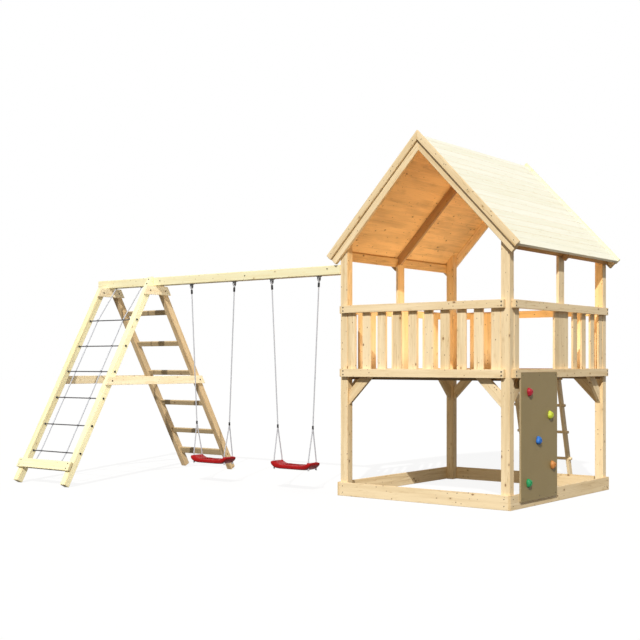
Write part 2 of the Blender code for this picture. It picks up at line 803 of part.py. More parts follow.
def swing_rope(name, hanger_x, connector_x, seat_x, mat):
    """One rope from its eye to the connector, then two branches down through the seat."""
    side = 1 if connector_x > seat_x else -1
    hole_x = seat_x + side * HOLE_X
    low, high = seat_height(side * HOLE_X)
    joint = (connector_x, BEAM_Y, CONNECTOR_Z)
    half = CONNECTOR_H / 2
    pieces = [
        tube([(hanger_x, BEAM_Y, EYE_Z - EYE_R), joint], ROPE_R),
        eye(hanger_x),
        cylinder_z(connector_x, BEAM_Y, (CONNECTOR_Z - half, CONNECTOR_Z + half), CONNECTOR_R, 12),
    ]
    for end in (-1, 1):
        y = BEAM_Y + end * HOLE_Y
        knot_z = low - SEAT_KNOT_R - KNOT_SLACK
        line = [joint, (hole_x, y, high + ROPE_RISE), (hole_x, y, knot_z)]
        pieces.append(tube(line, ROPE_R))
        pieces.append(knot((hole_x, y, knot_z), SEAT_KNOT_R))
    return fuse(name, pieces, mat)


def seat(name, seat_x, mat):
    """A moulded seat with raised ends and a bore for each rope branch."""
    sides = 16
    bm = bmesh.new()
    rings = []
    for x, half_w, low, high in SEAT_SHAPE:
        ring = []
        middle = SEAT_Z + (low + high) / 2
        half_h = (high - low) / 2
        for k in range(sides):
            turn = 2 * math.pi * k / sides
            c = math.cos(turn)
            s = math.sin(turn)
            y = math.copysign(abs(c) ** 0.45, c) * half_w
            z = math.copysign(abs(s) ** 0.6, s) * half_h
            place = (seat_x + x * SEAT_HALF_L, BEAM_Y + y, middle + z)
            ring.append(bm.verts.new(place))
        rings.append(ring)
    for near, far in zip(rings, rings[1:]):
        for k in range(sides):
            n = (k + 1) % sides
            bm.faces.new((near[k], near[n], far[n], far[k]))
    bm.faces.new(rings[0])
    bm.faces.new(rings[-1])
    ob = named(name, from_bmesh(bm), mat)
    for side in (-1, 1):
        for end in (-1, 1):
            x = seat_x + side * HOLE_X
            y = BEAM_Y + end * HOLE_Y
            cutter = cylinder_z(x, y, (SEAT_Z - HOLE_CUT, SEAT_Z + HOLE_CUT), BORE_R, 16)
            cut(ob, cutter, f"bore_{name}_{side}_{end}")
    return ob


def swings(rope_mat, steel, plastic):
    """Two swings, each on its own pair of pins."""
    for name, (seat_x, hanger_xs, connector_xs) in SWINGS.items():
        axis = bpy.data.objects.new(f"swing_{name}_axis", None)
        MODEL.objects.link(axis)
        axis.location = (seat_x, BEAM_Y, PIN_Z)
        moving = [seat(f"seat_{name}", seat_x, plastic)]
        for k, place in enumerate(("outer", "inner")):
            hanger(f"hanger_{name}_{place}", hanger_xs[k], steel)
            rope = swing_rope(
                f"rope_{name}_{place}", hanger_xs[k], connector_xs[k], seat_x, rope_mat
            )
            moving.append(rope)
        bpy.context.view_layer.update()
        for ob in moving:
            ob.parent = axis
            ob.matrix_parent_inverse = axis.matrix_world.inverted()


def centre_on_ground():
    """Move everything so that the origin is under the middle of the whole."""
    bpy.context.view_layer.update()
    corners = []
    for ob in MODEL.objects:
        if ob.type == "MESH":
            corners += [ob.matrix_world @ vert.co for vert in ob.data.vertices]
    low = [min(corner[k] for corner in corners) for k in range(3)]
    high = [max(corner[k] for corner in corners) for k in range(3)]
    shift = Matrix.Translation((-(low[0] + high[0]) / 2, -(low[1] + high[1]) / 2, -low[2]))
    for ob in list(MODEL.objects) + list(CUTTERS.objects):
        if ob.parent is None:
            ob.matrix_world = shift @ ob.matrix_world
    bpy.context.view_layer.update()


pine = material("pine", (0.80, 0.60, 0.36), 0.6)
roof_pine = material("roof_pine", (0.86, 0.70, 0.45), 0.6)
rafter_pine = material("rafter_pine", (0.55, 0.35, 0.18), 0.65)
panel_grey = material("wall_panel", (0.45, 0.39, 0.28), 0.6)
rope_grey = material("rope", (0.55, 0.53, 0.48), 0.8)
steel = material("zinc_steel", (0.62, 0.62, 0.60), 0.35)
seat_red = material("seat_plastic", (0.62, 0.03, 0.03), 0.4)
hold_colours = {
    "hold_red": (0.60, 0.03, 0.04),
    "hold_yellow": (0.62, 0.62, 0.06),
    "hold_blue": (0.03, 0.13, 0.55),
    "hold_orange": (0.80, 0.30, 0.05),
    "hold_green": (0.05, 0.35, 0.12),
}

posts(pine)
sandbox(pine)
railings(pine)
deck(pine)
knee_braces(pine)
rafters(rafter_pine)
eave_boards(pine)
roof(roof_pine)
bargeboards(pine)
climbing_wall(panel_grey)
for hold_name, hold_place in HOLDS.items():
    hold(hold_name, hold_place, material(hold_name, hold_colours[hold_name], 0.45))
ladder(pine)
beam(pine)
climbing_frame(pine)
rope_net(rope_grey)
swings(rope_grey, steel, seat_red)
centre_on_ground()
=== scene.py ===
"""Looks of the play tower with swing: every board, rope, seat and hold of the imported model."""

import json
import math
import random

import bmesh
import bpy
from mathutils import Matrix, Vector

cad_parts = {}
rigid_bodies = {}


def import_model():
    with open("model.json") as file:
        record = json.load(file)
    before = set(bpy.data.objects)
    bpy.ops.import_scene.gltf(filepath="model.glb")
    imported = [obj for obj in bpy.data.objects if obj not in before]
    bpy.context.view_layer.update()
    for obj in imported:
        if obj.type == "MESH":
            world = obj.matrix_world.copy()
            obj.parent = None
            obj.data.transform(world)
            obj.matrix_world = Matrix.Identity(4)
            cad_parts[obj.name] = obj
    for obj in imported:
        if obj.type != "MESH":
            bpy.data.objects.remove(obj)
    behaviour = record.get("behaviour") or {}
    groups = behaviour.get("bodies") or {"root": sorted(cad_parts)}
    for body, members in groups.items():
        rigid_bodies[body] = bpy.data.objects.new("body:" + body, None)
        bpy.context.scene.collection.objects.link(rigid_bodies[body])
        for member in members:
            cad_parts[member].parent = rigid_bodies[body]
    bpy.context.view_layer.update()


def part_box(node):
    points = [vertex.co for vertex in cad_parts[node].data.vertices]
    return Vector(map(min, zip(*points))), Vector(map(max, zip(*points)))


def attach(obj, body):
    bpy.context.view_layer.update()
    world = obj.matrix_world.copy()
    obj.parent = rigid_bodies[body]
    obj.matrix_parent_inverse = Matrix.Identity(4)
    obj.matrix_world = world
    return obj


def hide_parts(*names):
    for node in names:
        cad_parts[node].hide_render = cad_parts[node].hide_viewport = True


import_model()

# CORNER POSTS
# Four squared pine posts stand on the ground and carry everything. They are planed, have a small
# chamfer on every edge, and their tops are cut to the slope of the roof boards.

# The plan's zero is the front right corner of the sandbox on the ground, X to the right, Y to the rear.
CORNER = Vector((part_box("sandbox_right")[1].x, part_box("sandbox_right")[0].y, 0))
UP = Vector((0, 0, 1))
RIGHT = Vector((1, 0, 0))
REAR = Vector((0, 1, 0))
TOWER_W = 1.877
TOWER_D = 2.081
MID_X = -TOWER_W / 2
MID_Y = TOWER_D / 2
GAP = 0.0003  # between two pieces that touch
BOARD = 0.022
POST = 0.084
POST_CHAMFER = 0.004
BOARD_CHAMFER = 0.0025
APEX = 3.417
PITCH = math.radians(46.26)
ROOF_UNDER = 0.047  # depth of the roof boards' lower side under the bargeboards' top edge
# Over this height, inner faces and undersides under the roof get a painted warm glow in place of bounced
# light.
SHELTER_AND_GLOW_Z = 1.16  # under this height nothing is sheltered
PINE_PALE = (0.98, 0.80, 0.52)
PINE_LATE = (0.62, 0.42, 0.18)
PINE_KNOT = (0.22, 0.10, 0.04)
# The honey colour is a painted glow: it stands in for warm light bounced about under the roof.
PINE_PAINTED_GLOW = (1.0, 0.66, 0.27)
RING_WIDTH = 0.0058


def feed(tree, socket, value):
    """Link a socket into an input, or give the input a plain value."""
    if isinstance(value, bpy.types.NodeSocket):
        tree.links.new(value, socket)
    else:
        socket.default_value = (*value, 1) if socket.type == "RGBA" else value


def node(tree, kind, *values, **settings):
    """A shader node, with values for its first inputs, and settings and other inputs by name."""
    made = tree.nodes.new("ShaderNode" + kind)
    column, row = divmod(len(tree.nodes), 6)
    made.location = (column * 220 - 1400, 700 - row * 240)
    for key, value in settings.items():
        if hasattr(made, key):
            setattr(made, key, value)
        else:
            feed(tree, made.inputs[key.replace("_", " ")], value)
    for socket, value in zip(made.inputs, values):
        feed(tree, socket, value)
    return made


def maths(tree, kind, *values):
    """A sum or product of sockets and plain numbers."""
    return node(tree, "Math", *values, operation=kind).outputs[0]


def scaled(tree, value, factor, rest=0.0):
    """A value times a factor, plus the rest."""
    return maths(tree, "MULTIPLY_ADD", value, factor, rest)


def stretch(tree, vector, scale):
    """Coordinates scaled along each axis."""
    return node(tree, "VectorMath", vector, scale, operation="MULTIPLY").outputs[0]


def noise(tree, vector, scale, **settings):
    """Noise of one scale, or of a scale for each axis."""
    if isinstance(scale, tuple):
        vector = stretch(tree, vector, scale)
        scale = 1.0
    return node(tree, "TexNoise", Vector=vector, Scale=scale, **settings).outputs["Fac"]


def mask(tree, value, low, high, kind="SMOOTHSTEP"):
    """How far a value is on its way from low to high, from 0 to 1."""
    made = node(tree, "MapRange", interpolation_type=kind, Value=value, From_Min=low, From_Max=high)
    return made.outputs[0]


def blend(tree, factor, a, b):
    """Mix of two colour sockets or plain colours."""
    made = node(tree, "Mix", data_type="RGBA")
    for index, value in ((0, factor), (6, a), (7, b)):
        feed(tree, made.inputs[index], value)
    return made.outputs[2]


def attribute(tree, name, output="Fac"):
    """What the mesh stores under a name."""
    return node(tree, "Attribute", attribute_name=name).outputs[output]


def make_group(name, build, colours, numbers=()):
    """A node group with named inputs, which gives the colour, roughness and height that are built."""
    tree = bpy.data.node_groups.new(name, "ShaderNodeTree")
    for side, kind, titles in (
        ("INPUT", "Color", colours),
        ("INPUT", "Float", numbers),
        ("OUTPUT", "Color", ["Color"]),
        ("OUTPUT", "Float", ["Roughness", "Height"]),
    ):
        for title in titles:
            tree.interface.new_socket(title, in_out=side, socket_type="NodeSocket" + kind)
    start = tree.nodes.new("NodeGroupInput")
    start.location = (-1700, 0)
    end = tree.nodes.new("NodeGroupOutput")
    end.location = (1200, 0)
    for socket, value in zip(end.inputs, build(tree, start.outputs)):
        feed(tree, socket, value)
    return tree


def new_finish(name, **plain):
    """A material with its tree, its Principled shader and that shader's plain values."""
    finish = bpy.data.materials.new(name)
    finish.use_nodes = True
    shader = finish.node_tree.nodes["Principled BSDF"]
    for title, value in plain.items():
        feed(finish.node_tree, shader.inputs[title.replace("_", " ")], value)
    return finish, finish.node_tree, shader


def dress(tree, shader, colour, roughness, height, strength, depth):
    """Feed a shader with varying colour and roughness, and with relief through a bump."""
    bump = node(tree, "Bump", Strength=strength, Distance=depth, Height=height)
    feed(tree, shader.inputs["Base Color"], colour)
    feed(tree, shader.inputs["Roughness"], roughness)
    feed(tree, shader.inputs["Normal"], bump.outputs["Normal"])


def group_finish(name, group, strength, depth, given, **plain):
    """A material whose colour, roughness and relief come from a group with the given inputs."""
    finish, tree, shader = new_finish(name, **plain)
    out = node(tree, "Group", node_tree=group, **given).outputs
    dress(tree, shader, out["Color"], out["Roughness"], out["Height"], strength, depth)
    return finish


def solid_pine(tree, given):
    """Year rings round a far pith, streaks, fibres, knots, darker end grain, and a painted warm glow where
    sheltered.
    """
    log = attribute(tree, "log", "Vector")
    shelter_and_glow = attribute(tree, "shelter_and_glow")

    def spots(scale):
        """Distance to the nearest of many scattered spots."""
        vector = stretch(tree, log, scale)
        return node(tree, "TexVoronoi", feature="F1", Scale=1.0, Vector=vector).outputs["Distance"]

    # Knots are small hard spots that push the rings aside. Pin knots are tiny, and there are more.
    knots = spots((6.0, 10.0, 10.0))
    near = mask(tree, knots, 0.24, 0.04)
    core = mask(tree, knots, 0.105, 0.050)
    pin = mask(tree, spots((14.0, 20.0, 20.0)), 0.135, 0.065)
    # Short resin streaks run along the grain.
    resin = noise(tree, log, (5.5, 75.0, 75.0), Detail=3.0, Roughness=0.7)
    resin = mask(tree, resin, 0.58, 0.76)
    # Year rings round the pith, warped along the grain.
    warp = noise(tree, log, (1.1, 7.0, 7.0), Detail=3.0)
    parts = node(tree, "SeparateXYZ", Vector=log).outputs
    squares = [maths(tree, "MULTIPLY", part, part) for part in (parts[1], parts[2])]
    radius = maths(tree, "SQRT", maths(tree, "ADD", *squares))
    pushed = scaled(tree, near, 0.009, scaled(tree, warp, 0.030, radius))
    turn = maths(tree, "FRACT", maths(tree, "DIVIDE", pushed, RING_WIDTH))
    ring = maths(tree, "POWER", turn, 2.6)
    # Broad streaks and fine fibres.
    streak = noise(tree, log, (1.3, 26.0, 26.0), Detail=4.0, Roughness=0.6)
    fibre = noise(tree, log, (14.0, 620.0, 620.0), Detail=2.0)
    dark = -0.70
    tone = attribute(tree, "tone")
    for value, share in ((ring, 0.36), (streak, 1.35), (tone, 0.36), (near, 0.30), (resin, 0.85)):
        dark = scaled(tree, value, share, dark)
    wood = blend(tree, dark, given["Pale"], given["Late"])
    # Under cover the wood gets a cloudy honey colour: a painted warm glow that stands in for light bounced
    # about under the roof.
    cloud = noise(tree, log, (2.0, 7.0, 7.0), Detail=3.0, Distortion=1.2)
    cloudy = scaled(tree, dark, 0.40, scaled(tree, cloud, 0.70, -0.35))
    wood = blend(tree, shelter_and_glow, wood, blend(tree, cloudy, given["PaintedGlow"], PINE_KNOT))
    fine = node(tree, "VectorMath", wood, operation="SCALE", Scale=scaled(tree, fibre, 0.16, 0.91))
    cut = blend(tree, scaled(tree, attribute(tree, "end"), 0.42), fine.outputs[0], given["Late"])
    # Sun and rain take the colour out of knots, but not under cover.
    open_air = maths(tree, "SUBTRACT", 1.0, shelter_and_glow)
    kept = maths(tree, "SUBTRACT", 0.88, maths(tree, "MULTIPLY", open_air, given["Bleached"]))
    dots = maths(tree, "MAXIMUM", core, scaled(tree, pin, 0.85))
    colour = blend(tree, maths(tree, "MULTIPLY", dots, kept), cut, PINE_KNOT)
    return colour, scaled(tree, fibre, 0.22, 0.48), scaled(tree, ring, -0.5, fibre)


pine_log = make_group("pine_log", solid_pine, ["Pale", "Late", "PaintedGlow"], ["Bleached"])


def pine_finish(name, pale=PINE_PALE, late=PINE_LATE, painted_glow=PINE_PAINTED_GLOW, bleached=0.0):
    """Unpainted planed pine, coloured by where each board lay in its log, with a painted warm glow of bounced
    light where sheltered.
    """
    given = {"Pale": pale, "Late": late, "PaintedGlow": painted_glow, "Bleached": bleached}
    return group_finish(name, pine_log, 0.25, 0.0006, given, Specular_IOR_Level=0.35)


def glow_and_shelter(point, normal):
    """From 0 to 1, how well roof and railings keep the weather off a surface, and how much painted warm glow
    it gets in place of light bounced under the roof.
    """
    inside = point - Vector((MID_X, MID_Y, 0))
    half_w = TOWER_W / 2
    half_d = TOWER_D / 2
    if point.z < SHELTER_AND_GLOW_Z or abs(inside.x) > half_w + 0.01 or abs(inside.y) > half_d + 0.0145:
        return 0.0
    inward = -normal.x * inside.x / half_w - normal.y * inside.y / half_d
    return min(max(inward, -normal.z * 1.6, 0), 1) * min(1, (point.z - SHELTER_AND_GLOW_Z) / 0.1)


def skin(bm, rings):
    """Faces from each ring of points to the next. A ring may be a single point."""
    for a, b in zip(rings, rings[1:]):
        count = max(len(a), len(b))
        for k in range(count):
            n = (k + 1) % count
            corners = (a[k % len(a)], a[n % len(a)], b[n % len(b)], b[k % len(b)])
            bm.faces.new(list(dict.fromkeys(corners)))


def prism(low, high):
    """A solid between two like outlines."""
    bm = bmesh.new()
    low = [bm.verts.new(point) for point in low]
    high = [bm.verts.new(point) for point in high]
    bm.faces.new(low[::-1])
    bm.faces.new(high)
    skin(bm, [low, high])
    bmesh.ops.recalc_face_normals(bm, faces=bm.faces)
    return bm


def baked(bm, name="part"):
    """The mesh made of a working mesh, which is let go."""
    made = bpy.data.meshes.new(name)
    bm.to_mesh(made)
    bm.free()
    return made


def merge(bm, target):
    """Put a working mesh into another one."""
    part = baked(bm)
    target.from_mesh(part)
    bpy.data.meshes.remove(part)


class Stack:
    """Boards laid one after the other into one mesh, each cut from its own place in a log."""

    def __init__(self, seed):
        self.mesh = bmesh.new()
        self.dice = random.Random(seed)

    def add(self, outline, thickness, place, edge=BOARD_CHAMFER):
        """A board: its outline with the grain along x, its thickness along z, put in place."""
        half = thickness / 2
        bm = prism([(x, y, -half) for x, y in outline], [(x, y, half) for x, y in outline])
        bmesh.ops.bevel(bm, geom=bm.edges[:], offset=edge, segments=2, affect="EDGES", clamp_overlap=True)
        self.keep(bm, place)

    def keep(self, bm, place):
        """Give a finished piece its grain and put it on the stack."""
        log = bm.verts.layers.float_vector.new("log")
        tone = bm.verts.layers.float.new("tone")
        end = bm.loops.layers.float.new("end")
        shelter_and_glow = bm.loops.layers.float.new("shelter_and_glow")
        dice = self.dice
        pith = Vector((dice.uniform(0, 40), dice.uniform(-0.05, 0.05), dice.uniform(0.03, 0.11)))
        shade = dice.random()
        bm.normal_update()
        for vert in bm.verts:
            vert[log] = vert.co + pith
            vert[tone] = shade
        for face in bm.faces:
            for corner in face.loops:
                corner[end] = 1.0 if abs(face.normal.x) > 0.8 else 0.0
        bm.transform(place)
        bm.normal_update()
        # The shelter mask also says where the painted warm glow goes.
        for face in bm.faces:
            for corner in face.loops:
                corner[shelter_and_glow] = glow_and_shelter(corner.vert.co - CORNER, face.normal)
        merge(bm, self.mesh)

    def bar(self, x, y, z, along, edge=BOARD_CHAMFER):
        """A straight board between plan coordinates, its grain along x, y or z."""
        low, high = map(Vector, zip(x, y, z))
        turn = {"x": (0, 1, 2), "y": (1, 2, 0), "z": (2, 0, 1)}[along]
        length, width, thick = (high[k] - low[k] for k in turn)
        axes = [(RIGHT, REAR, UP)[k] for k in turn]
        self.add(rectangle(length / 2, width / 2), thick, stand(axes[0], axes[1], (low + high) / 2), edge)

    def finish(self, name, material, replaced, slot="pine"):
        """The object made of the stack, on the frame and in place of the model's node."""
        return settle(name, baked(self.mesh), material, "frame", slot, replaced)


def rectangle(half_x, half_y):
    """The outline of a board with square ends."""
    return [(-half_x, -half_y), (half_x, -half_y), (half_x, half_y), (-half_x, half_y)]


def stand(along, across, middle):
    """The matrix that puts a board's grain along one direction and its width along another."""
    turn = Matrix((along, across, along.cross(across))).transposed().to_4x4()
    return Matrix.Translation(Vector(middle) + CORNER) @ turn


def in_scene(name, data):
    """A new object in the scene."""
    made = bpy.data.objects.new(name, data)
    bpy.context.scene.collection.objects.link(made)
    return made


def settle(name, made, material, body, slot, *nodes):
    """Put a mesh in the scene, on its body and in place of the model's nodes."""
    made.name = name
    made.materials.append(material)
    piece = in_scene(name, made)
    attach(piece, body)
    if nodes:
        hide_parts(*nodes)
    return piece


def roof_height(x, depth):
    """Height of the slope at x, at a depth square under the bargeboard's top edge."""
    return APEX - abs(x - MID_X) * math.tan(PITCH) - depth / math.cos(PITCH)


def under_slope(low, a, b, depth):
    """The outline of an upright between two places across, its top cut to the slope."""
    return [(low, a), (roof_height(a, depth + GAP), a), (roof_height(b, depth + GAP), b), (low, b)]


pine = pine_finish("planed_pine")
for side, low_x in (("right", -BOARD - POST), ("left", BOARD - TOWER_W)):
    outline = under_slope(0, low_x, low_x + POST, ROOF_UNDER)
    for end, low_y in (("front", BOARD), ("rear", TOWER_D - BOARD - POST)):
        timber = Stack(f"post {side} {end}")
        timber.add(outline, POST, stand(UP, RIGHT, (0, low_y + POST / 2, 0)), POST_CHAMFER)
        timber.finish(f"corner_post_{end}_{side}", pine, f"post_{end}_{side}")

# SANDBOX
# Four boards on edge stand round the feet of the posts and hold the sand. The side boards run
# over the ends of the other two, and each corner is held by two countersunk screws.
SANDBOX_H = 0.131
SCREW_R = 0.0052
SCREW_HEIGHTS = (0.035, 0.096)
SCREW_IN_X = 0.064  # from a corner to the screws of the front and rear boards
SCREW_IN_Y = 0.050


def object_place(tree):
    """Coordinates in the object's own axes."""
    return node(tree, "TexCoord").outputs["Object"]


def worn_metal(tree, given):
    """Cloudy patches and scratches."""
    place = object_place(tree)
    cloud = noise(tree, place, 90.0, Detail=5.0)
    scratch = noise(tree, place, (900, 60, 900), Detail=3.0)
    return blend(tree, cloud, given["Bright"], given["Dull"]), scaled(tree, cloud, 0.3, 0.25), scratch


metal_wear = make_group("metal_wear", worn_metal, ["Bright", "Dull"])


def metal_finish(name, bright, dull):
    """Grey or blackened steel with light wear."""
    return group_finish(name, metal_wear, 0.2, 0.0003, {"Bright": bright, "Dull": dull}, Metallic=0.85)


dark_steel = metal_finish("dark_screw_steel", (0.07, 0.055, 0.045), (0.02, 0.016, 0.013))


def smooth(bm):
    """Outward normals and soft shading."""
    bmesh.ops.recalc_face_normals(bm, faces=bm.faces)
    for face in bm.faces:
        face.smooth = True


def circle(sides, radius):
    """Points round a circle."""
    angles = [2 * math.pi * k / sides for k in range(sides)]
    return [(radius * math.cos(angle), radius * math.sin(angle)) for angle in angles]


def turned(profile, sides, place):
    """A round piece from (radius, height) pairs, turned about its own z and put in place."""
    bm = bmesh.new()
    rings = []
    for radius, height in profile:
        flat = circle(sides, radius) if radius else [(0, 0)]
        rings.append([bm.verts.new((x, y, height)) for x, y in flat])
    skin(bm, rings)
    smooth(bm)
    bm.transform(place)
    return bm


def facing(direction, spot):
    """The matrix that turns z to a direction at a plan point."""
    turn = Vector(direction).to_track_quat("Z", "Y").to_matrix().to_4x4()
    return Matrix.Translation(Vector(spot) + CORNER) @ turn


def gather(parts):
    """Several small meshes as one."""
    joined = bmesh.new()
    for bm in parts:
        merge(bm, joined)
    return baked(joined)


def screw(spot, direction, radius=SCREW_R):
    """A sunk screw head with a round socket dent, just proud of the wood."""
    shape = ((1, -0.002), (1, 0.0004), (0.86, 0.0011), (0.48, 0.0014), (0.42, 0.0006), (0, -0.0006))
    profile = [(share * radius, height) for share, height in shape]
    return turned(profile, 12, facing(direction, spot))


def screws(name, spots, radius=SCREW_R):
    """A set of screws given by their places and directions."""
    made = gather([screw(spot, direction, radius) for spot, direction in spots])
    settle(name, made, dark_steel, "frame", "zinc_steel")


def single_board(seed, name, finish, replaced, x, y, z, along, edge=BOARD_CHAMFER):
    """A piece that is one straight board."""
    timber = Stack(seed)
    timber.bar(x, y, z, along, edge)
    timber.finish(name, finish, replaced)


for seed, word, x, y, along in (
    ("sandbox", "right", (GAP - BOARD, 0), (0, TOWER_D), "y"),
    ("sandbox left", "left", (-TOWER_W, BOARD - TOWER_W - GAP), (0, TOWER_D), "y"),
    ("sandbox front", "front", (BOARD - TOWER_W, -BOARD), (0, BOARD - GAP), "x"),
    ("sandbox rear", "rear", (BOARD - TOWER_W, -BOARD), (TOWER_D - BOARD + GAP, TOWER_D), "x"),
):
    single_board(seed, f"sandbox_board_{word}", pine, f"sandbox_{word}", x, y, (0, SANDBOX_H), along)

spots = []
for z in SCREW_HEIGHTS:
    for y in (SCREW_IN_Y, TOWER_D - SCREW_IN_Y):
        spots.append(((0, y, z), (1, 0, 0)))
        spots.append(((-TOWER_W, y, z), (-1, 0, 0)))
    for x in (-SCREW_IN_X, SCREW_IN_X - TOWER_W):
        spots.append(((x, 0, z), (0, -1, 0)))
        spots.append(((x, TOWER_D, z), (0, 1, 0)))
screws("sandbox_screws", spots)

# DECK
# The floor of the tower: pine planks from front to rear, screwed to three joists that are
# bolted between the posts. It lies behind the platform boards, which hide all but its edge.
DECK_TOP = 1.200
PLANK = 0.024
PLANKS = 17
PLANK_GAP = 0.004
JOIST_HALF = 0.017
JOIST_LOW = 1.124
INNER = BOARD + POST + GAP  # inner faces of the posts
PANEL_IN = 0.044  # inner faces of the railings
JOIST_IN = 0.050
EDGE_IN = 0.048  # outer edges of the two planks between the posts
PLAY = 0.002  # beside the posts
deck_left = INNER - TOWER_W + PLAY
pitch = (TOWER_W - 2 * INNER) / PLANKS
plank_z = (DECK_TOP - PLANK, DECK_TOP)
joists_y = (INNER + JOIST_HALF, MID_Y, TOWER_D - INNER - JOIST_HALF)
timber = Stack("deck")
for k in range(PLANKS):
    left = deck_left + k * pitch
    timber.bar((left, left + pitch - PLANK_GAP), (PANEL_IN, TOWER_D - PANEL_IN), plank_z, "y")
for x in ((PLAY - INNER, -EDGE_IN), (EDGE_IN - TOWER_W, INNER - PLAY - TOWER_W)):
    timber.bar(x, (INNER, TOWER_D - INNER), plank_z, "y")
timber.finish("deck_planks", pine, "deck")
timber = Stack("joists")
for y in joists_y:
    joist_y = (y - JOIST_HALF, y + JOIST_HALF)
    timber.bar((JOIST_IN - TOWER_W, -JOIST_IN), joist_y, (JOIST_LOW, DECK_TOP - PLANK), "x")
# The joists' dark brown is painted shade: they lie in the shadow under the platform boards.
painted_shade_pine = pine_finish("painted_shade_pine", (0.36, 0.24, 0.12), (0.20, 0.12, 0.05), (0.30, 0.18, 0.08))
timber.finish("deck_joists", painted_shade_pine, "deck")
spots = []
for k in range(PLANKS):
    for y in joists_y:
        for shift in (0.022, pitch - 0.026):
            spots.append(((deck_left + k * pitch + shift, y, DECK_TOP), (0, 0, 1)))
screws("deck_screws", spots, 0.0042)

# KNEE BRACES
# Eight short pine boards, two at each post, run at 45 degrees from the posts to the deck and
# keep the tower square. Their ends are mitred, and a screw goes in from each lower face.
KNEE_LEG = 0.296
KNEE_W = 0.096
KNEE_T = 0.034
KNEE_SCREW = 0.030  # from the post to the screw
knee_top = DECK_TOP - PLANK - GAP
wide = KNEE_W * math.sqrt(2)
flat = ((GAP, -KNEE_LEG), (KNEE_LEG, 0), (KNEE_LEG - wide, 0), (GAP, wide - KNEE_LEG))
outline = [((a + b) * math.sqrt(0.5), (b - a) * math.sqrt(0.5)) for a, b in flat]
spots = []
for side, sign in (("right", 1), ("left", -1)):
    face_x = MID_X + sign * (TOWER_W / 2 - BOARD - POST)
    line_x = face_x + sign * POST / 2
    for end, turn in (("front", 1), ("rear", -1)):
        face_y = MID_Y - turn * (TOWER_D / 2 - BOARD - POST)
        line_y = face_y - turn * POST / 2
        for word, way, spot in (
            ("across", Vector((-sign, 0, 0)), (face_x, line_y, knee_top)),
            ("along", Vector((0, turn, 0)), (line_x, face_y, knee_top)),
        ):
            timber = Stack(f"knee {side} {end} {word}")
            timber.add(outline, KNEE_T, stand((way + UP).normalized(), (UP - way).normalized(), spot))
            timber.finish(f"knee_brace_{end}_{side}_{word}", pine, f"knee_{end}_{side}_{word}")
            low = Vector(spot) + way * KNEE_SCREW - UP * (KNEE_LEG - KNEE_SCREW)
            spots.append((low, (way - UP).normalized()))
screws("knee_screws", spots)

# RAILINGS
# Each side has a thick platform board and top rail, screwed to the outer faces of the posts, and
# balusters behind them. The right side is open over the climbing wall and the rear at the ladder.
RAIL_OUT = 0.018
PLATFORM_Z = (1.150, 1.2265)
RAIL_Z = (1.763, 1.837)
RAIL_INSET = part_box("railing_front")[0].x - CORNER.x + TOWER_W
RAIL_SCREW_IN = 0.022
RAIL_SCREW_LIFT = 0.017
RAIL_SCREW_R = 0.0080
BALUSTER_W = 0.096
BALUSTER_T = 0.020
BALUSTER_Z = (1.160, 1.825)
BALUSTER_CHAMFER = 0.004
BALUSTERS = 10
MID_PLANK_W = 0.120
MID_PLANK_T = 0.025
RAFTER_UNDER = 0.125
WALL_Y = (0.160, 0.868)
WALL_Z = (0.058, 1.198)
# Each side: its length, the baluster places left open, and the way out
RAILINGS = {
    "front": (TOWER_W, (), (0, -1, 0)),
    "rear": (TOWER_W, (4, 5, 6), (0, 1, 0)),
    "right": (TOWER_D, (1, 2, 3), (1, 0, 0)),
    "left": (TOWER_D, (), (-1, 0, 0)),
}
# The rebated board's faces, by the places of their corners in x, y and z
REBATED_FACES = (
    "000 300 320 020",
    "002 102 112 212 202 302 322 022",
    "020 320 322 022",
    "000 300 302 202 201 101 102 002",
    "000 020 022 002",
    "300 320 322 302",
    "101 102 112 111",
    "201 202 212 211",
    "111 211 212 112",
    "101 201 211 111",
)


def on_side(side, along, deep):
    """Plan ranges on a side of the tower, from a place along it and a depth from its face."""
    if side in ("front", "rear"):
        y = deep if side == "front" else (TOWER_D - deep[1], TOWER_D - deep[0])
        return (along[0] - TOWER_W, along[1] - TOWER_W), y
    if side == "right":
        return (-deep[1], -deep[0]), along
    return (deep[0] - TOWER_W, deep[1] - TOWER_W), along


def add_rebated_board(timber):
    """The right platform board, cut back where the climbing wall is let into it."""
    x = (RAIL_INSET, WALL_Y[0] - GAP, WALL_Y[1] + GAP, TOWER_D - RAIL_INSET)
    y = (PLATFORM_Z[0], WALL_Z[1] + GAP, PLATFORM_Z[1])
    z = (GAP - BOARD, 0, RAIL_OUT)
    bm = bmesh.new()
    made = {}
    for corners in REBATED_FACES:
        for corner in corners.split():
            if corner not in made:
                i, j, k = map(int, corner)
                made[corner] = bm.verts.new((x[i] - MID_Y, y[j], z[k]))
        bm.faces.new([made[corner] for corner in corners.split()])
    bmesh.ops.recalc_face_normals(bm, faces=bm.faces)
    bmesh.ops.bevel(bm, geom=bm.edges[:], offset=BOARD_CHAMFER, segments=2, affect="EDGES")
    timber.keep(bm, stand(REAR, UP, (0, MID_Y, 0)))


def add_mid_plank(timber, sign):
    """The plank halfway along a side, from the platform to the middle rafter."""
    near = MID_X + sign * (TOWER_W / 2 - BOARD)
    outline = under_slope(BALUSTER_Z[0], near, near - sign * MID_PLANK_T, RAFTER_UNDER)
    timber.add(outline, MID_PLANK_W, stand(UP, RIGHT, (0, MID_Y, 0)))


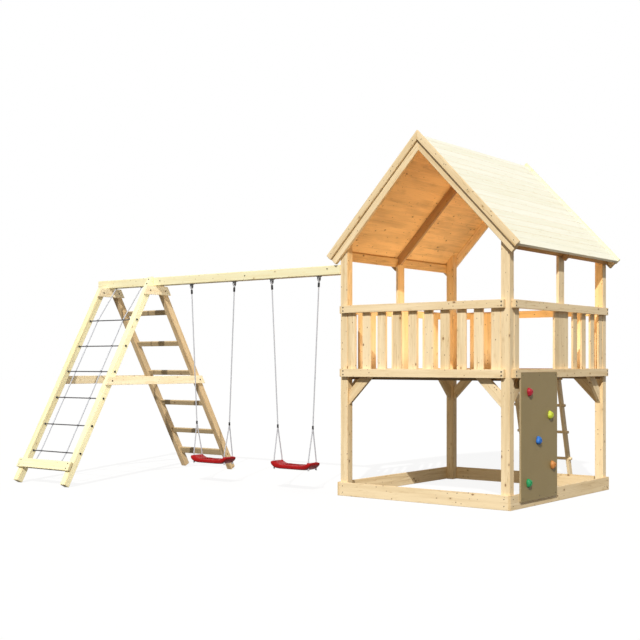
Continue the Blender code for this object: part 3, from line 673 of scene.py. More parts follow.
for side, (span, doorway, out) in RAILINGS.items():
    timber = Stack(f"railing {side}")
    grain = "x" if span == TOWER_W else "y"
    deep = (-RAIL_OUT, BOARD - GAP)
    spots = []
    for z in (PLATFORM_Z, RAIL_Z):
        if side == "right" and z == PLATFORM_Z:
            add_rebated_board(timber)
        else:
            timber.bar(*on_side(side, (RAIL_INSET, span - RAIL_INSET), deep), z, grain)
        for spot in (RAIL_INSET + RAIL_SCREW_IN, span - RAIL_INSET - RAIL_SCREW_IN):
            x, y = on_side(side, (spot, spot), (-RAIL_OUT, -RAIL_OUT))
            for lift in (RAIL_SCREW_LIFT, -RAIL_SCREW_LIFT):
                spots.append(((x[0], y[0], sum(z) / 2 + lift), out))
    first = BOARD + POST + PLAY
    step = (span - 2 * first - BALUSTER_W) / (BALUSTERS - 1)
    for k in range(BALUSTERS):
        if k not in doorway:
            start = first + k * step
            x, y = on_side(side, (start, start + BALUSTER_W), (deep[1], deep[1] + BALUSTER_T))
            timber.bar(x, y, BALUSTER_Z, "z", BALUSTER_CHAMFER)
    if grain == "y":
        add_mid_plank(timber, out[0])
    screws(f"railing_screws_{side}", spots, RAIL_SCREW_R)
    timber.finish(f"{side}_railing", pine, f"railing_{side}")

# RAFTERS AND EAVE BOARDS
# Three pairs of rafters carry the roof: one in front of the front posts, one on the middle
# planks and one behind the rear posts. Eave boards between them tie the posts together.
SLOPE = 1.5105  # from the apex to the eaves
RAFTER_T = 0.036
JOINT_HALF = 0.0002  # half the gap in the plumb joints under the apex
EAVE_Z = 2.280
# A darker copy of the pine: painted shade for the middle rafters and the right eave boards, which lie in
# shadow under the roof.
rafter_pine = pine_finish("rafter_pine", (0.60, 0.38, 0.18), (0.36, 0.18, 0.07), (0.29, 0.125, 0.040))


def slope_ways(side):
    """Directions down a slope and square under it."""
    down = Vector((side * math.cos(PITCH), 0, -math.sin(PITCH)))
    return down, Vector((-side * math.sin(PITCH), 0, -math.cos(PITCH)))


def sloping_board(timber, side, top, bottom, y):
    """A board down one slope, cut plumb under the apex and square at the eaves."""
    outline = [(SLOPE, top), (SLOPE, bottom)]
    for depth in (bottom, top):
        along = depth * math.tan(PITCH) + JOINT_HALF * math.cos(PITCH)
        outline.append((along, depth - JOINT_HALF * math.sin(PITCH)))
    timber.add(outline, abs(y[1] - y[0]), stand(*slope_ways(side), (MID_X, sum(y) / 2, APEX)))


rafter_end = (BOARD - GAP - RAFTER_T, BOARD - GAP)
for word, y, finish in (
    ("front", rafter_end, pine),
    ("middle", (MID_Y - RAFTER_T / 2, MID_Y + RAFTER_T / 2), rafter_pine),
    ("rear", (TOWER_D - rafter_end[1], TOWER_D - rafter_end[0]), pine),
):
    timber = Stack(f"rafters {word}")
    for side in (1, -1):
        sloping_board(timber, side, ROOF_UNDER + GAP, RAFTER_UNDER, y)
    timber.finish(f"rafter_pair_{word}", finish, f"rafters_{word}", "rafter_pine")

eave_z = (EAVE_Z, roof_height(0, ROOF_UNDER) - GAP)
# The right eave boards take the darker rafter pine: painted shade for the roof overhang's shadow.
for side, x, finish in (
    ("right", (GAP - BOARD, 0), rafter_pine),
    ("left", (-TOWER_W, BOARD - GAP - TOWER_W), pine),
):
    for end, y in (
        ("front", (BOARD, MID_Y - RAFTER_T / 2 - GAP)),
        ("rear", (MID_Y + RAFTER_T / 2 + GAP, TOWER_D - BOARD)),
    ):
        name = f"eave_board_{end}_{side}"
        single_board(f"eave {side} {end}", name, finish, f"eave_{end}_{side}", x, y, eave_z, "y")

# ROOF
# Sixteen tongued boards on each slope run from gable to gable, nailed to the rafters. Their
# upper side is bleached pale by the sun; underneath, a painted warm orange brown glow stands in
# for light bounced about under the roof.
ROOF_TOP = 0.021
ROOF_BOARDS = 16
SEAM_HALF = 0.0004
ROOF_CHAMFER = 0.0010
TONGUE_W = 0.004
TONGUE_T = 0.008
roof_pine = pine_finish("roof_pine", (0.95, 0.95, 0.83), (0.84, 0.81, 0.60), (1.0, 0.64, 0.27), 0.75)
step = SLOPE / ROOF_BOARDS
roof_half = MID_Y - rafter_end[0]
for word, side in (("right", 1), ("left", -1)):
    timber = Stack(f"roof {word}")
    down, under = slope_ways(side)
    apex = Vector((MID_X, MID_Y, APEX))
    for k in range(ROOF_BOARDS):
        near = k * step + SEAM_HALF if k else (ROOF_TOP + ROOF_UNDER) / 2 * math.tan(PITCH)
        far = (k + 1) * step - SEAM_HALF
        middle = apex + down * (near + far) / 2 + under * (ROOF_TOP + ROOF_UNDER) / 2
        outline = rectangle(roof_half, (far - near) / 2)
        timber.add(outline, ROOF_UNDER - ROOF_TOP, stand(REAR, down, middle), ROOF_CHAMFER)
    # The tongues close the seams from below.
    for k in range(1, ROOF_BOARDS):
        middle = apex + down * k * step + under * (ROOF_UNDER - SEAM_HALF - TONGUE_T / 2)
        outline = rectangle(roof_half - 0.001, TONGUE_W / 2)
        timber.add(outline, TONGUE_T, stand(REAR, down, middle), 0.0002)
    timber.finish(f"roof_boards_{word}", roof_pine, f"roof_{word}", "roof_pine")

# BARGEBOARDS
# A board down each slope covers the ends of the roof boards, front and rear. The two of a gable
# meet in a plumb joint under the apex and are screwed to the rafters behind them.
BARGE_W = 0.061
BARGE_T = 0.0237
BARGE_SCREWS = (0.10, 0.45, 0.80, 1.15, 1.46)
BARGE_SCREW_DEPTH = 0.030
BARGE_SCREW_R = 0.0045
back = rafter_end[0] - GAP
bleached = pine_finish("bleached_pine", (0.97, 0.92, 0.62), (0.86, 0.70, 0.36), bleached=0.3)
spots = []
for word, near, out, finish in (("front", back, -1, pine), ("rear", TOWER_D - back, 1, bleached)):
    far = near + out * BARGE_T
    timber = Stack(f"bargeboards {word}")
    for side in (1, -1):
        sloping_board(timber, side, 0, BARGE_W, (near, far))
        down, under = slope_ways(side)
        start = Vector((MID_X, far, APEX)) + under * BARGE_SCREW_DEPTH
        spots += [(start + down * along, (0, out, 0)) for along in BARGE_SCREWS]
    timber.finish(f"gable_bargeboards_{word}", finish, f"bargeboards_{word}")
screws("bargeboard_screws", spots, BARGE_SCREW_R)

# CLIMBING WALL
# A panel of film faced plywood, olive brown, is screwed over the right side from the sandbox to
# the deck. Its sawn edge shows the layers of veneer.
WALL_X = (GAP, 0.0183)
WALL_CORNER_R = 0.006
FILM = ((0.318, 0.240, 0.104), (0.264, 0.198, 0.082))
WORN_FILM = (0.38, 0.30, 0.15)
VENEERS = ((0.52, 0.42, 0.25), (0.33, 0.25, 0.14))
VENEER_T = 0.0014


def make_panel_finish():
    """Smooth brown film with a fine mesh print, scuffs, and veneer lines on the edge."""
    finish, tree, shader = new_finish("film_faced_panel", Specular_IOR_Level=0.30)
    place = object_place(tree)
    cloud = noise(tree, place, 5.0, Detail=6.0, Roughness=0.6)
    scuff = noise(tree, place, (20, 26, 90), Detail=5.0, Roughness=0.7)
    scuffed = maths(tree, "MULTIPLY", mask(tree, scuff, 0.60, 0.75, "LINEAR"), 0.35)
    film = blend(tree, scuffed, blend(tree, cloud, *FILM), WORN_FILM)
    # Veneer lines lie one behind the other, so they depend on x alone and show only on the edges.
    across = node(tree, "SeparateXYZ", Vector=place).outputs[0]
    lines = maths(tree, "GREATER_THAN", maths(tree, "PINGPONG", across, VENEER_T), VENEER_T / 2)
    colour = blend(tree, attribute(tree, "sawn"), film, blend(tree, lines, *VENEERS))
    mesh_print = node(tree, "TexVoronoi", Scale=420.0, Vector=place).outputs["Distance"]
    dress(tree, shader, colour, scaled(tree, scuff, 0.25, 0.36), mesh_print, 0.15, 0.0004)
    return finish


def block(size, middle, edge=0.0):
    """A cuboid at a plan point, with its edges rounded where an edge is given."""
    bm = bmesh.new()
    bmesh.ops.create_cube(bm, size=1)
    bmesh.ops.scale(bm, vec=size, verts=bm.verts)
    if edge:
        bmesh.ops.bevel(bm, geom=bm.edges[:], offset=edge, segments=2, affect="EDGES")
    bmesh.ops.translate(bm, vec=Vector(middle) + CORNER, verts=bm.verts)
    return bm


size = [high - low for low, high in (WALL_X, WALL_Y, WALL_Z)]
bm = block(size, Vector((sum(WALL_X), sum(WALL_Y), sum(WALL_Z))) / 2)


def edges_along_x(low, high):
    """Edges whose direction has a share of x between two limits."""
    share = {edge: abs((edge.verts[0].co - edge.verts[1].co).normalized().x) for edge in bm.edges}
    return [edge for edge in bm.edges if low < share[edge] < high]


bmesh.ops.bevel(bm, geom=edges_along_x(0.9, 2), offset=WALL_CORNER_R, segments=3, affect="EDGES")
bmesh.ops.bevel(bm, geom=edges_along_x(-1, 0.1), offset=0.0012, segments=1, affect="EDGES")
bm.normal_update()
sawn = bm.faces.layers.float.new("sawn")
for face in bm.faces:
    face[sawn] = 0.0 if abs(face.normal.x) > 0.6 else 1.0
settle("climbing_wall_panel", baked(bm), make_panel_finish(), "frame", "wall_panel", "climbing_wall")
spots = []
for y in (WALL_Y[0] + 0.035, sum(WALL_Y) / 2, WALL_Y[1] - 0.035):
    for z in (WALL_Z[1] - 0.024, WALL_Z[0] + 0.030):
        spots.append(((WALL_X[1], y, z), (1, 0, 0)))
screws("climbing_wall_screws", spots, 0.005)

# CLIMBING HOLDS
# Five moulded stones of sand-filled resin, one colour each, sit on the panel. A bolt through the
# middle of each one, in a washer seat, goes into a nut behind the panel.
HOLD_SIZE = (0.034, 0.080, 0.082)
HOLD_RINGS = 14
HOLD_SIDES = 36
# Each hold: its place in y and z, its colour and its rubbed colour
HOLDS = {
    "red": (0.306, 1.026, (0.40, 0.012, 0.030), (0.62, 0.10, 0.10)),
    "yellow": (0.712, 0.808, (0.52, 0.60, 0.035), (0.72, 0.78, 0.20)),
    "blue": (0.480, 0.587, (0.012, 0.130, 0.50), (0.08, 0.28, 0.66)),
    "orange": (0.763, 0.349, (0.54, 0.20, 0.045), (0.68, 0.36, 0.14)),
    "green": (0.293, 0.221, (0.012, 0.27, 0.085), (0.08, 0.44, 0.20)),
}
HOLD_BOLT_TOP = ((0.0078, 0.0022), (0.0045, 0.0030), (0.0040, 0.0004), (0, -0.0002))
HOLD_BOLT = ((0.0085, -0.004), (0.0085, 0.0005)) + HOLD_BOLT_TOP


def gritty_surface(tree, given):
    """A moulded surface: cloudy colour, fine grit and rubbed patches."""
    place = object_place(tree)
    cloud = noise(tree, place, 38.0, Detail=4.0)
    grit = noise(tree, place, 700.0, Detail=3.0)
    rubbed = scaled(tree, mask(tree, cloud, 0.45, 0.72, "LINEAR"), 0.5)
    return blend(tree, rubbed, given["Deep"], given["Rubbed"]), scaled(tree, grit, 0.3, 0.36), grit


gritty_resin = make_group("gritty_resin", gritty_surface, ["Deep", "Rubbed"])


def moulded_finish(name, deep, rubbed, grit=0.5):
    """Coloured resin or plastic on the gritty group."""
    given = {"Deep": deep, "Rubbed": rubbed}
    return group_finish(name, gritty_resin, grit, 0.0005, given, Specular_IOR_Level=0.30)


def hold_point(phase, ring, k):
    """A point of a hold's skin: a lumpy dome with a finger dent and a bolt seat."""
    depth, width, height = HOLD_SIZE
    lift = math.pi / 2 * ring / HOLD_RINGS
    angle = 2 * math.pi * k / HOLD_SIDES
    lump = 1 + 0.075 * math.sin(3 * angle + phase) + 0.035 * math.sin(5 * angle - phase)
    spread = math.cos(lift) ** 0.62 * lump
    dent = 0.16 * math.exp(-((angle - 1.6) ** 2) * 4) * math.sin(2 * lift)
    out = depth * max(math.sin(lift) ** 0.9 - dent, 0)
    hollow = 0.25 if spread < 0.16 and ring > HOLD_RINGS - 3 else 0
    spread *= 0.92 / 2
    return out * (1 - hollow), spread * math.cos(angle) * width, spread * math.sin(angle) * height


bolts = []
for word, (y, z, deep, rubbed) in HOLDS.items():
    bm = bmesh.new()
    phase = sum(map(ord, word))
    rings = []
    for ring in range(HOLD_RINGS):
        rings.append([bm.verts.new(hold_point(phase, ring, k)) for k in range(HOLD_SIDES)])
    rings.append([bm.verts.new((HOLD_SIZE[0] * 0.75, 0, 0))])
    skin(bm, rings)
    bm.faces.new(rings[0][::-1])
    smooth(bm)
    bm.faces.ensure_lookup_table()
    bm.faces[-1].smooth = False
    bmesh.ops.translate(bm, vec=Vector((WALL_X[1] + GAP, y, z)) + CORNER, verts=bm.verts)
    resin = moulded_finish(f"resin_{word}", deep, rubbed)
    settle(f"climbing_hold_{word}", baked(bm), resin, "frame", f"hold_{word}", f"hold_{word}")
    bolts.append(turned(HOLD_BOLT, 20, facing((1, 0, 0), (WALL_X[1] + HOLD_SIZE[0] * 0.80, y, z))))
settle("climbing_hold_bolts", gather(bolts), dark_steel, "frame", "zinc_steel")

# REAR LADDER
# Two leaning pine rails with round rungs through them lead to the rear doorway. The rungs stand
# a little out of the rails, whose tops are cut plumb against the rear platform board.
LADDER_X = (-1.090, -0.578)
LADDER_FOOT = 2.427
LADDER_LEAN = 0.2717
LADDER_TOP = 1.215
LADDER_RAIL_T = 0.028
LADDER_RAIL_W = 0.070
RUNG_R = 0.015
RUNG_END = 0.003  # length of the softened end of a rung
RUNG_STUB = 0.028
RUNG_Z = (0.267, 0.551, 0.836, 1.120)
LADDER_SCREW = (2.124, 1.180)


def rung(timber, a, b):
    """A round bar with softened ends, its grain from end to end."""
    half = (b - a).length / 2
    profile = [(0, -half), (RUNG_R * 0.86, -half), (RUNG_R, RUNG_END - half)]
    profile += [(radius, -height) for radius, height in reversed(profile)]
    along = (b - a).normalized()
    bm = turned(profile, 24, Matrix.Rotation(math.pi / 2, 4, "Y"))
    timber.keep(bm, stand(along, along.orthogonal().normalized(), (a + b) / 2))


half = LADDER_RAIL_W / 2 * math.hypot(1, LADDER_LEAN)
face = TOWER_D + RAIL_OUT + GAP
side_view = (
    (LADDER_FOOT - half, 0),
    (LADDER_FOOT + half, 0),
    (LADDER_FOOT + half - LADDER_LEAN * LADDER_TOP, LADDER_TOP),
    (face, LADDER_TOP),
    (face, (LADDER_FOOT - half - face) / LADDER_LEAN),
)
rise = Vector((0, -LADDER_LEAN, 1)).normalized()
away = Vector((0, 1, LADDER_LEAN)).normalized()
points = [Vector((0, y - LADDER_FOOT, z)) for y, z in side_view]
outline = [(point.dot(rise), point.dot(away)) for point in points]
timber = Stack("ladder")
for x in LADDER_X:
    timber.add(outline, LADDER_RAIL_T, stand(rise, away, (x, LADDER_FOOT, 0)), POST_CHAMFER)
past = LADDER_RAIL_T / 2 + RUNG_STUB
for z in RUNG_Z:
    y = LADDER_FOOT - LADDER_LEAN * z
    rung(timber, Vector((LADDER_X[0] - past, y, z)), Vector((LADDER_X[1] + past, y, z)))
timber.finish("rear_ladder", pine, "ladder")
spots = [((x + out * LADDER_RAIL_T / 2, *LADDER_SCREW), (out, 0, 0)) for x, out in zip(LADDER_X, (-1, 1))]
screws("ladder_screws", spots)

# SWING BEAM
# A squared pine beam runs from the front left post to the climbing frame and carries the
# swings. Its edges are rounded, and bolts hold it to the post and the frame.
BEAM_Y = 0.066
BEAM_W = 0.087
BEAM_EDGE = 0.006
BEAM_Z = (2.142, 2.235)
BEAM_END = -5.392
BEAM_BOLTS = ((-2.02, 2.205), (-4.36, 2.195), (-3.10, 2.19))
beam_x = (BEAM_END, BOARD - TOWER_W - GAP)
beam_y = (BEAM_Y - BEAM_W / 2, BEAM_Y + BEAM_W / 2)
single_board("beam", "beam_of_the_swings", bleached, "swing_beam", beam_x, beam_y, BEAM_Z, "x", BEAM_EDGE)


def bolt_head(spot, direction, radius=0.009):
    """A round headed coach bolt."""
    shape = ((1, -0.002), (1, 0.001), (0.92, 0.0032), (0.6, 0.0052), (0, 0.006))
    return turned([(share * radius, height) for share, height in shape], 20, facing(direction, spot))


beam_bolts = [bolt_head((x, beam_y[0], z), (0, -1, 0), 0.007) for x, z in BEAM_BOLTS]
settle("beam_bolts", gather(beam_bolts), dark_steel, "frame", "zinc_steel")

# CLIMBING FRAME
# Two pairs of squared legs lean together under the far end of the beam. The rear pair carries
# six flat rungs, the front pair the rope net. Ties and cross boards keep them apart.
LEG = 0.072
LEG_X = (-5.266, -4.494)
LEG_SPREAD = 1.275
LEG_TAN = (LEG_SPREAD - 0.060) / (sum(BEAM_Z) / 2)
LEG_COS = 1 / math.hypot(1, LEG_TAN)
LEG_SIN = LEG_TAN * LEG_COS
LEG_RISE = 0.010  # how far the inner legs stand over the beam
LEG_BOLTS_Z = (2.165, 2.215)
TIE_T = 0.024  # ties and cross boards
TIE_H = 0.097
TIE_HALF = 0.176
TIE_BOLT_Z = 2.09
CROSS_H = 0.090
CROSS_Z = 1.048
CROSS_HALF = (0.690, 0.730)
FLAT_RUNG_Z = (0.210, 0.465, 0.810, 1.172, 1.510, 1.860)
FLAT_RUNG_H = 0.058
LOW_RUNG_H = 0.080
FLAT_RUNG_T = 0.025
FOOT_BOARD_Z = 0.187
FOOT_BOARD_W = 0.100
FOOT_BOARD_T = 0.036
FOOT_BOARD_OVER = 0.004
FOOT_BOLT_SHIFT = 0.028
fresh_pine = pine_finish("fresh_pine", (1.0, 0.88, 0.63), (0.84, 0.64, 0.36), bleached=0.5)
# Darker copies of the pine for the rear legs and flat rungs: painted shade for their faces that lie in
# shadow.
painted_shade_legs_pine = pine_finish("painted_shade_rung_legs", (0.80, 0.61, 0.37), (0.48, 0.31, 0.14))
painted_shade_rungs_pine = pine_finish("painted_shade_rungs_pine", (0.62, 0.48, 0.28), (0.36, 0.24, 0.11))


def leg_off(z):
    """How far a leg's middle line is from the beam's middle at a height."""
    return LEG_SPREAD - LEG_TAN * z


def leg_ways(sign):
    """Directions up a leg and square out of it, on the front (-1) or rear (1) side."""
    return Vector((0, -sign * LEG_SIN, LEG_COS)), Vector((0, sign * LEG_COS, LEG_SIN))


def add_leg(timber, index, sign):
    """A leg with its foot cut square; the inner ones lap the beam."""
    half = LEG / 2 / LEG_COS
    lift = LEG / 2 * LEG_SIN
    foot = leg_off(lift)
    corners = [(foot - LEG / 2 * LEG_COS, 0), (foot + LEG / 2 * LEG_COS, 2 * lift)]
    if index == 0:
        top = BEAM_Z[0] - GAP
        corners += [(leg_off(top) + half, top), (leg_off(top) - half, top)]
    else:
        top = BEAM_Z[1] + LEG_RISE
        flat = BEAM_W / 2 + GAP
        corners += [(leg_off(top) + half, top), (flat, top), (flat, (LEG_SPREAD - half - flat) / LEG_TAN)]
    rise, away = leg_ways(sign)
    points = [Vector((0, sign * off, z)) for off, z in corners]
    outline = [(point.dot(rise), point.dot(away)) for point in points]
    timber.add(outline, LEG, stand(rise, away, (LEG_X[index], BEAM_Y, 0)), POST_CHAMFER)


def add_slanted(timber, sign, z, out, tall, thick, x):
    """A board across one pair of legs, turned with them."""
    rise, away = leg_ways(sign)
    middle = Vector((sum(x) / 2, BEAM_Y + sign * leg_off(z), z)) + away * out
    timber.add(rectangle((x[1] - x[0]) / 2, tall / 2), thick, stand(RIGHT, rise, middle), 0.003)


def level_board(seed, name, replaced, face, z, tall, half):
    """A level board on the legs' faces, its ends cut parallel to them."""
    rake = LEG_TAN * tall / 2
    outline = [(-half - rake, 0), (half + rake, 0), (half - rake, tall), (-half + rake, tall)]
    timber = Stack(seed)
    timber.add(outline, TIE_T, stand(REAR, UP, (face + TIE_T / 2, BEAM_Y, z)))
    timber.finish(name, fresh_pine, replaced)


frame_bolts = []
for z in LEG_BOLTS_Z:
    for sign in (-1, 1):
        spot = (LEG_X[1], BEAM_Y + sign * (leg_off(z) + LEG / 2 / LEG_COS), z)
        frame_bolts.append(bolt_head(spot, leg_ways(sign)[1]))
for index, word in enumerate(("outer", "inner")):
    timber = Stack(f"net leg {word}")
    add_leg(timber, index, -1)
    timber.finish(f"frame_leg_{word}", bleached, f"net_leg_{word}")
    face = LEG_X[index] + LEG / 2 + GAP
    tie_z = BEAM_Z[0] - GAP - TIE_H
    level_board(f"tie {word}", f"top_tie_{word}", f"tie_{word}", face, tie_z, TIE_H, TIE_HALF)
    # The outer pair's cross board lies on the far side of its legs.
    out = index * 2 - 1
    cross_face = face if index else face - LEG - 2 * GAP - TIE_T
    name = f"cross_board_{word}"
    level_board(f"cross {word}", name, f"cross_{word}", cross_face, CROSS_Z, CROSS_H, CROSS_HALF[index])
    cross_bolt_x = cross_face + TIE_T if index else cross_face
    cross_bolt_z = CROSS_Z + CROSS_H / 2
    for sign in (-1, 1):
        spot = (face + TIE_T, BEAM_Y + sign * leg_off(TIE_BOLT_Z), TIE_BOLT_Z)
        frame_bolts.append(bolt_head(spot, (1, 0, 0)))
        spot = (cross_bolt_x, BEAM_Y + sign * leg_off(cross_bolt_z), cross_bolt_z)
        frame_bolts.append(bolt_head(spot, (out, 0, 0)))
    for shift in (-FOOT_BOLT_SHIFT, FOOT_BOLT_SHIFT):
        z = FOOT_BOARD_Z + shift * LEG_COS
        away = leg_ways(-1)[1]
        spot = Vector((LEG_X[index], BEAM_Y - leg_off(z), z)) + away * (LEG / 2 + GAP + FOOT_BOARD_T)
        frame_bolts.append(bolt_head(spot, away, 0.006))

timber = Stack("rung ladder")
for index in (0, 1):
    add_leg(timber, index, 1)
timber.finish("rung_side_legs", painted_shade_legs_pine, "rung_ladder")
timber = Stack("flat rungs")
between = (LEG_X[0] + LEG / 2, LEG_X[1] - LEG / 2)
for k, z in enumerate(FLAT_RUNG_Z):
    add_slanted(timber, 1, z, 0, FLAT_RUNG_H if k else LOW_RUNG_H, FLAT_RUNG_T, between)
timber.finish("rung_side_rungs", painted_shade_rungs_pine, "rung_ladder")
timber = Stack("foot board")
out = LEG / 2 + GAP + FOOT_BOARD_T / 2
over = LEG / 2 + FOOT_BOARD_OVER
foot_x = (LEG_X[0] - over, LEG_X[1] + over)
add_slanted(timber, -1, FOOT_BOARD_Z, out, FOOT_BOARD_W, FOOT_BOARD_T, foot_x)
timber.finish("net_foot_board_plank", bleached, "net_foot_board")
settle("frame_bolts", gather(frame_bolts), dark_steel, "frame", "zinc_steel")

# ROPE NET
# Two long ropes hang from the beam down to the foot board and six ropes cross them between the
# legs. They are laid from three strands and knotted at the crossings, with black end caps.
ROPE_R = 0.0065
NET_X = (-5.100, -4.680)
NET_Z = (0.340, 0.620, 0.905, 1.190, 1.470, 1.760)
NET_FOOT_Z = 0.205
NET_FOOT_IN = 0.015  # from the legs' outer faces to the middle of the lowest knots
NET_TOP_OFF = 0.022
NET_KNOT = 0.0155
FOOT_KNOT = 0.015
NET_STRAND_R = 0.0055
STRANDS = 3
LAY = 0.034
BEND = 0.02
PLUG = ((0, 0), (0.0115, 0), (0.0120, 0.0015), (0.0115, 0.0065), (0.0080, 0.0100))


def make_rope_finish(name, light, dark):
    """Twisted fibres: fine yarns across each strand, darker in the grooves between strands, a soft sheen."""
    finish, tree, shader = new_finish(name, Sheen_Weight=0.3, Sheen_Roughness=0.5)
    run = attribute(tree, "run", "Vector")
    bands = stretch(tree, run, (260.0, 3.0, 0.0))
    twist = {"Scale": 1.0, "Distortion": 1.5, "Detail": 2.0}
    yarn = node(tree, "TexWave", bands_direction="DIAGONAL", Vector=bands, **twist)
    speck = noise(tree, run, 160.0, Detail=3.0)
    # Darker in the grooves between the strands, and in random specks.
    groove_and_speck_darkening = scaled(tree, attribute(tree, "groove"), 0.6, maths(tree, "MULTIPLY", speck, 0.3))
    colour = blend(tree, groove_and_speck_darkening, light, dark)
    dress(tree, shader, colour, scaled(tree, speck, 0.2, 0.7), yarn.outputs["Fac"], 0.5, 0.0006)
    return finish


def smooth_line(points, step=0.006):
    """Points along a line with rounded bends, about a step apart."""
    points = [Vector(p) for p in points]
    rounded = [points[0]]
    for a, b, c in zip(points, points[1:], points[2:]):
        cut = min(BEND, (b - a).length / 3, (c - b).length / 3)
        start = b + (a - b).normalized() * cut
        stop = b + (c - b).normalized() * cut
        for k in range(5):
            t = k / 4
            rounded.append(start * (1 - t) ** 2 + b * 2 * t * (1 - t) + stop * t * t)
    rounded.append(points[-1])
    line = [rounded[0]]
    for a, b in zip(rounded, rounded[1:]):
        count = max(1, round((b - a).length / step))
        line += [a.lerp(b, k / count) for k in range(1, count + 1)]
    return line


def laid_rope(points, radius, closed=False, sides=12, lay=LAY):
    """A three strand rope along plan points, with the strands standing out as a helix."""
    line = [Vector(p) for p in points] if closed else smooth_line(points)
    bm = bmesh.new()
    run = bm.verts.layers.float_vector.new("run")
    groove = bm.verts.layers.float.new("groove")
    count = len(line)
    side = None
    travelled = 0.0
    rings = []
    for k, point in enumerate(line):
        ahead = line[(k + 1) % count] if closed or k < count - 1 else point
        behind = line[k - 1] if closed or k > 0 else point
        way = (ahead - behind).normalized()
        side = way.orthogonal() if side is None else side - way * side.dot(way)
        side.normalize()
        other = way.cross(side)
        if k:
            travelled += (point - line[k - 1]).length
        ring = []
        for s in range(sides):
            angle = 2 * math.pi * s / sides
            strand = abs(math.cos(STRANDS / 2 * (angle - 2 * math.pi * travelled / lay)))
            reach = radius * (0.80 + 0.20 * strand ** 0.6)
            vert = bm.verts.new(point + CORNER + (side * math.cos(angle) + other * math.sin(angle)) * reach)
            vert[run] = (travelled, angle, 0)
            vert[groove] = 1 - strand
            ring.append(vert)
        rings.append(ring)
    skin(bm, rings + rings[:1] if closed else rings)
    if not closed:
        bm.faces.new(rings[0][::-1])
        bm.faces.new(rings[-1])
    smooth(bm)
    return bm


def tied_knot(spot, size, radius, seed):
    """An overhand knot: one closed turn of rope through itself."""
    dice = random.Random(seed)
    turn = Matrix.Rotation(dice.uniform(0, 6.28), 3, "X") @ Matrix.Rotation(dice.uniform(0, 6.28), 3, "Z")
    points = []
    for k in range(48):
        t = 2 * math.pi * k / 48
        shape = (math.sin(t) + 2 * math.sin(2 * t), math.cos(t) - 2 * math.cos(2 * t), -math.sin(3 * t))
        points.append(Vector(spot) + turn @ (Vector(shape) * (size - radius) / 3))
    return laid_rope(points, radius, closed=True, sides=10, lay=0.02)


def net_point(x, z):
    """A point in the plane of the net."""
    return x, BEAM_Y - leg_off(z), z


def cap(direction, spot, height=0.0100):
    """A round plastic plug over a rope's end."""
    return turned(PLUG + ((0, height),), 20, facing(direction, spot))


pale_rope = make_rope_finish("pale_laid_rope", (0.70, 0.73, 0.80), (0.40, 0.42, 0.48))
dark_rope = make_rope_finish("dark_laid_rope", (0.10, 0.10, 0.11), (0.03, 0.03, 0.03))
black_plastic = moulded_finish("black_end_caps", (0.018, 0.018, 0.018), (0.06, 0.06, 0.06), 0.2)
ropes = []
rows = []
caps = []
beam_under = BEAM_Z[0] - GAP
for x in NET_X:
    foot = Vector(net_point(x, NET_FOOT_Z)) + leg_ways(-1)[1] * (LEG / 2 - NET_FOOT_IN)
    top = (x, BEAM_Y - NET_TOP_OFF, beam_under)
    line = [foot] + [net_point(x, z) for z in NET_Z] + [Vector(top) - UP * 0.004]
    ropes.append(laid_rope(line, ROPE_R))
    ropes.append(tied_knot(foot, FOOT_KNOT, NET_STRAND_R, f"foot {x}"))
    caps.append(cap((0, 0, -1), top))
for z in NET_Z:
    y = BEAM_Y - leg_off(z)
    left = LEG_X[0] + LEG / 2 + GAP
    right = LEG_X[1] - LEG / 2 - GAP
    rows.append(laid_rope([(left + 0.004, y, z), (right - 0.004, y, z)], ROPE_R))
    for way, inner, outer in ((1, left, LEG_X[1] + LEG / 2), (-1, right, LEG_X[0] - LEG / 2)):
        caps.append(cap((way, 0, 0), (inner, y, z)))
        caps.append(cap((way, 0, 0), (outer, y, z), 0.008))
    for x in NET_X:
        rows.append(tied_knot(net_point(x, z), NET_KNOT, NET_STRAND_R, f"net {x} {z}"))
settle("net_long_ropes", gather(ropes), pale_rope, "frame", "rope", "rope_net")
settle("net_cross_ropes", gather(rows), dark_rope, "frame", "rope", "rope_net")
settle("net_end_caps", gather(caps), black_plastic, "frame", "rope")

# SWING HANGERS
# Four steel hangers are screwed under the beam. Each is a plate with two cheeks and a pin, on
# which the eye of a swing rope turns.

# Each swing: the seat's middle, its two hangers and its two connectors along X
SWINGS = {
    "left": (-3.594, (-3.912, -3.285), (-3.833, -3.356)),
    "right": (-2.462, (-2.767, -2.155), (-2.688, -2.232)),
}
PIN_Z = BEAM_Z[0] - 0.034
PLATE = (0.046, 0.044, 0.006)
CHEEK_X = 0.013
CHEEK_HALF_T = 0.002
CHEEK_R = 0.012
CHEEK_Z = (-0.005, -0.032)  # top edge and middle of the round end, under the beam
PIN_HALF = ((0, 0.017), (0.0070, 0.0168), (0.0070, 0.0152), (0.005, 0.015))
grey_steel = metal_finish("grey_hanger_steel", (0.20, 0.20, 0.20), (0.08, 0.08, 0.08))


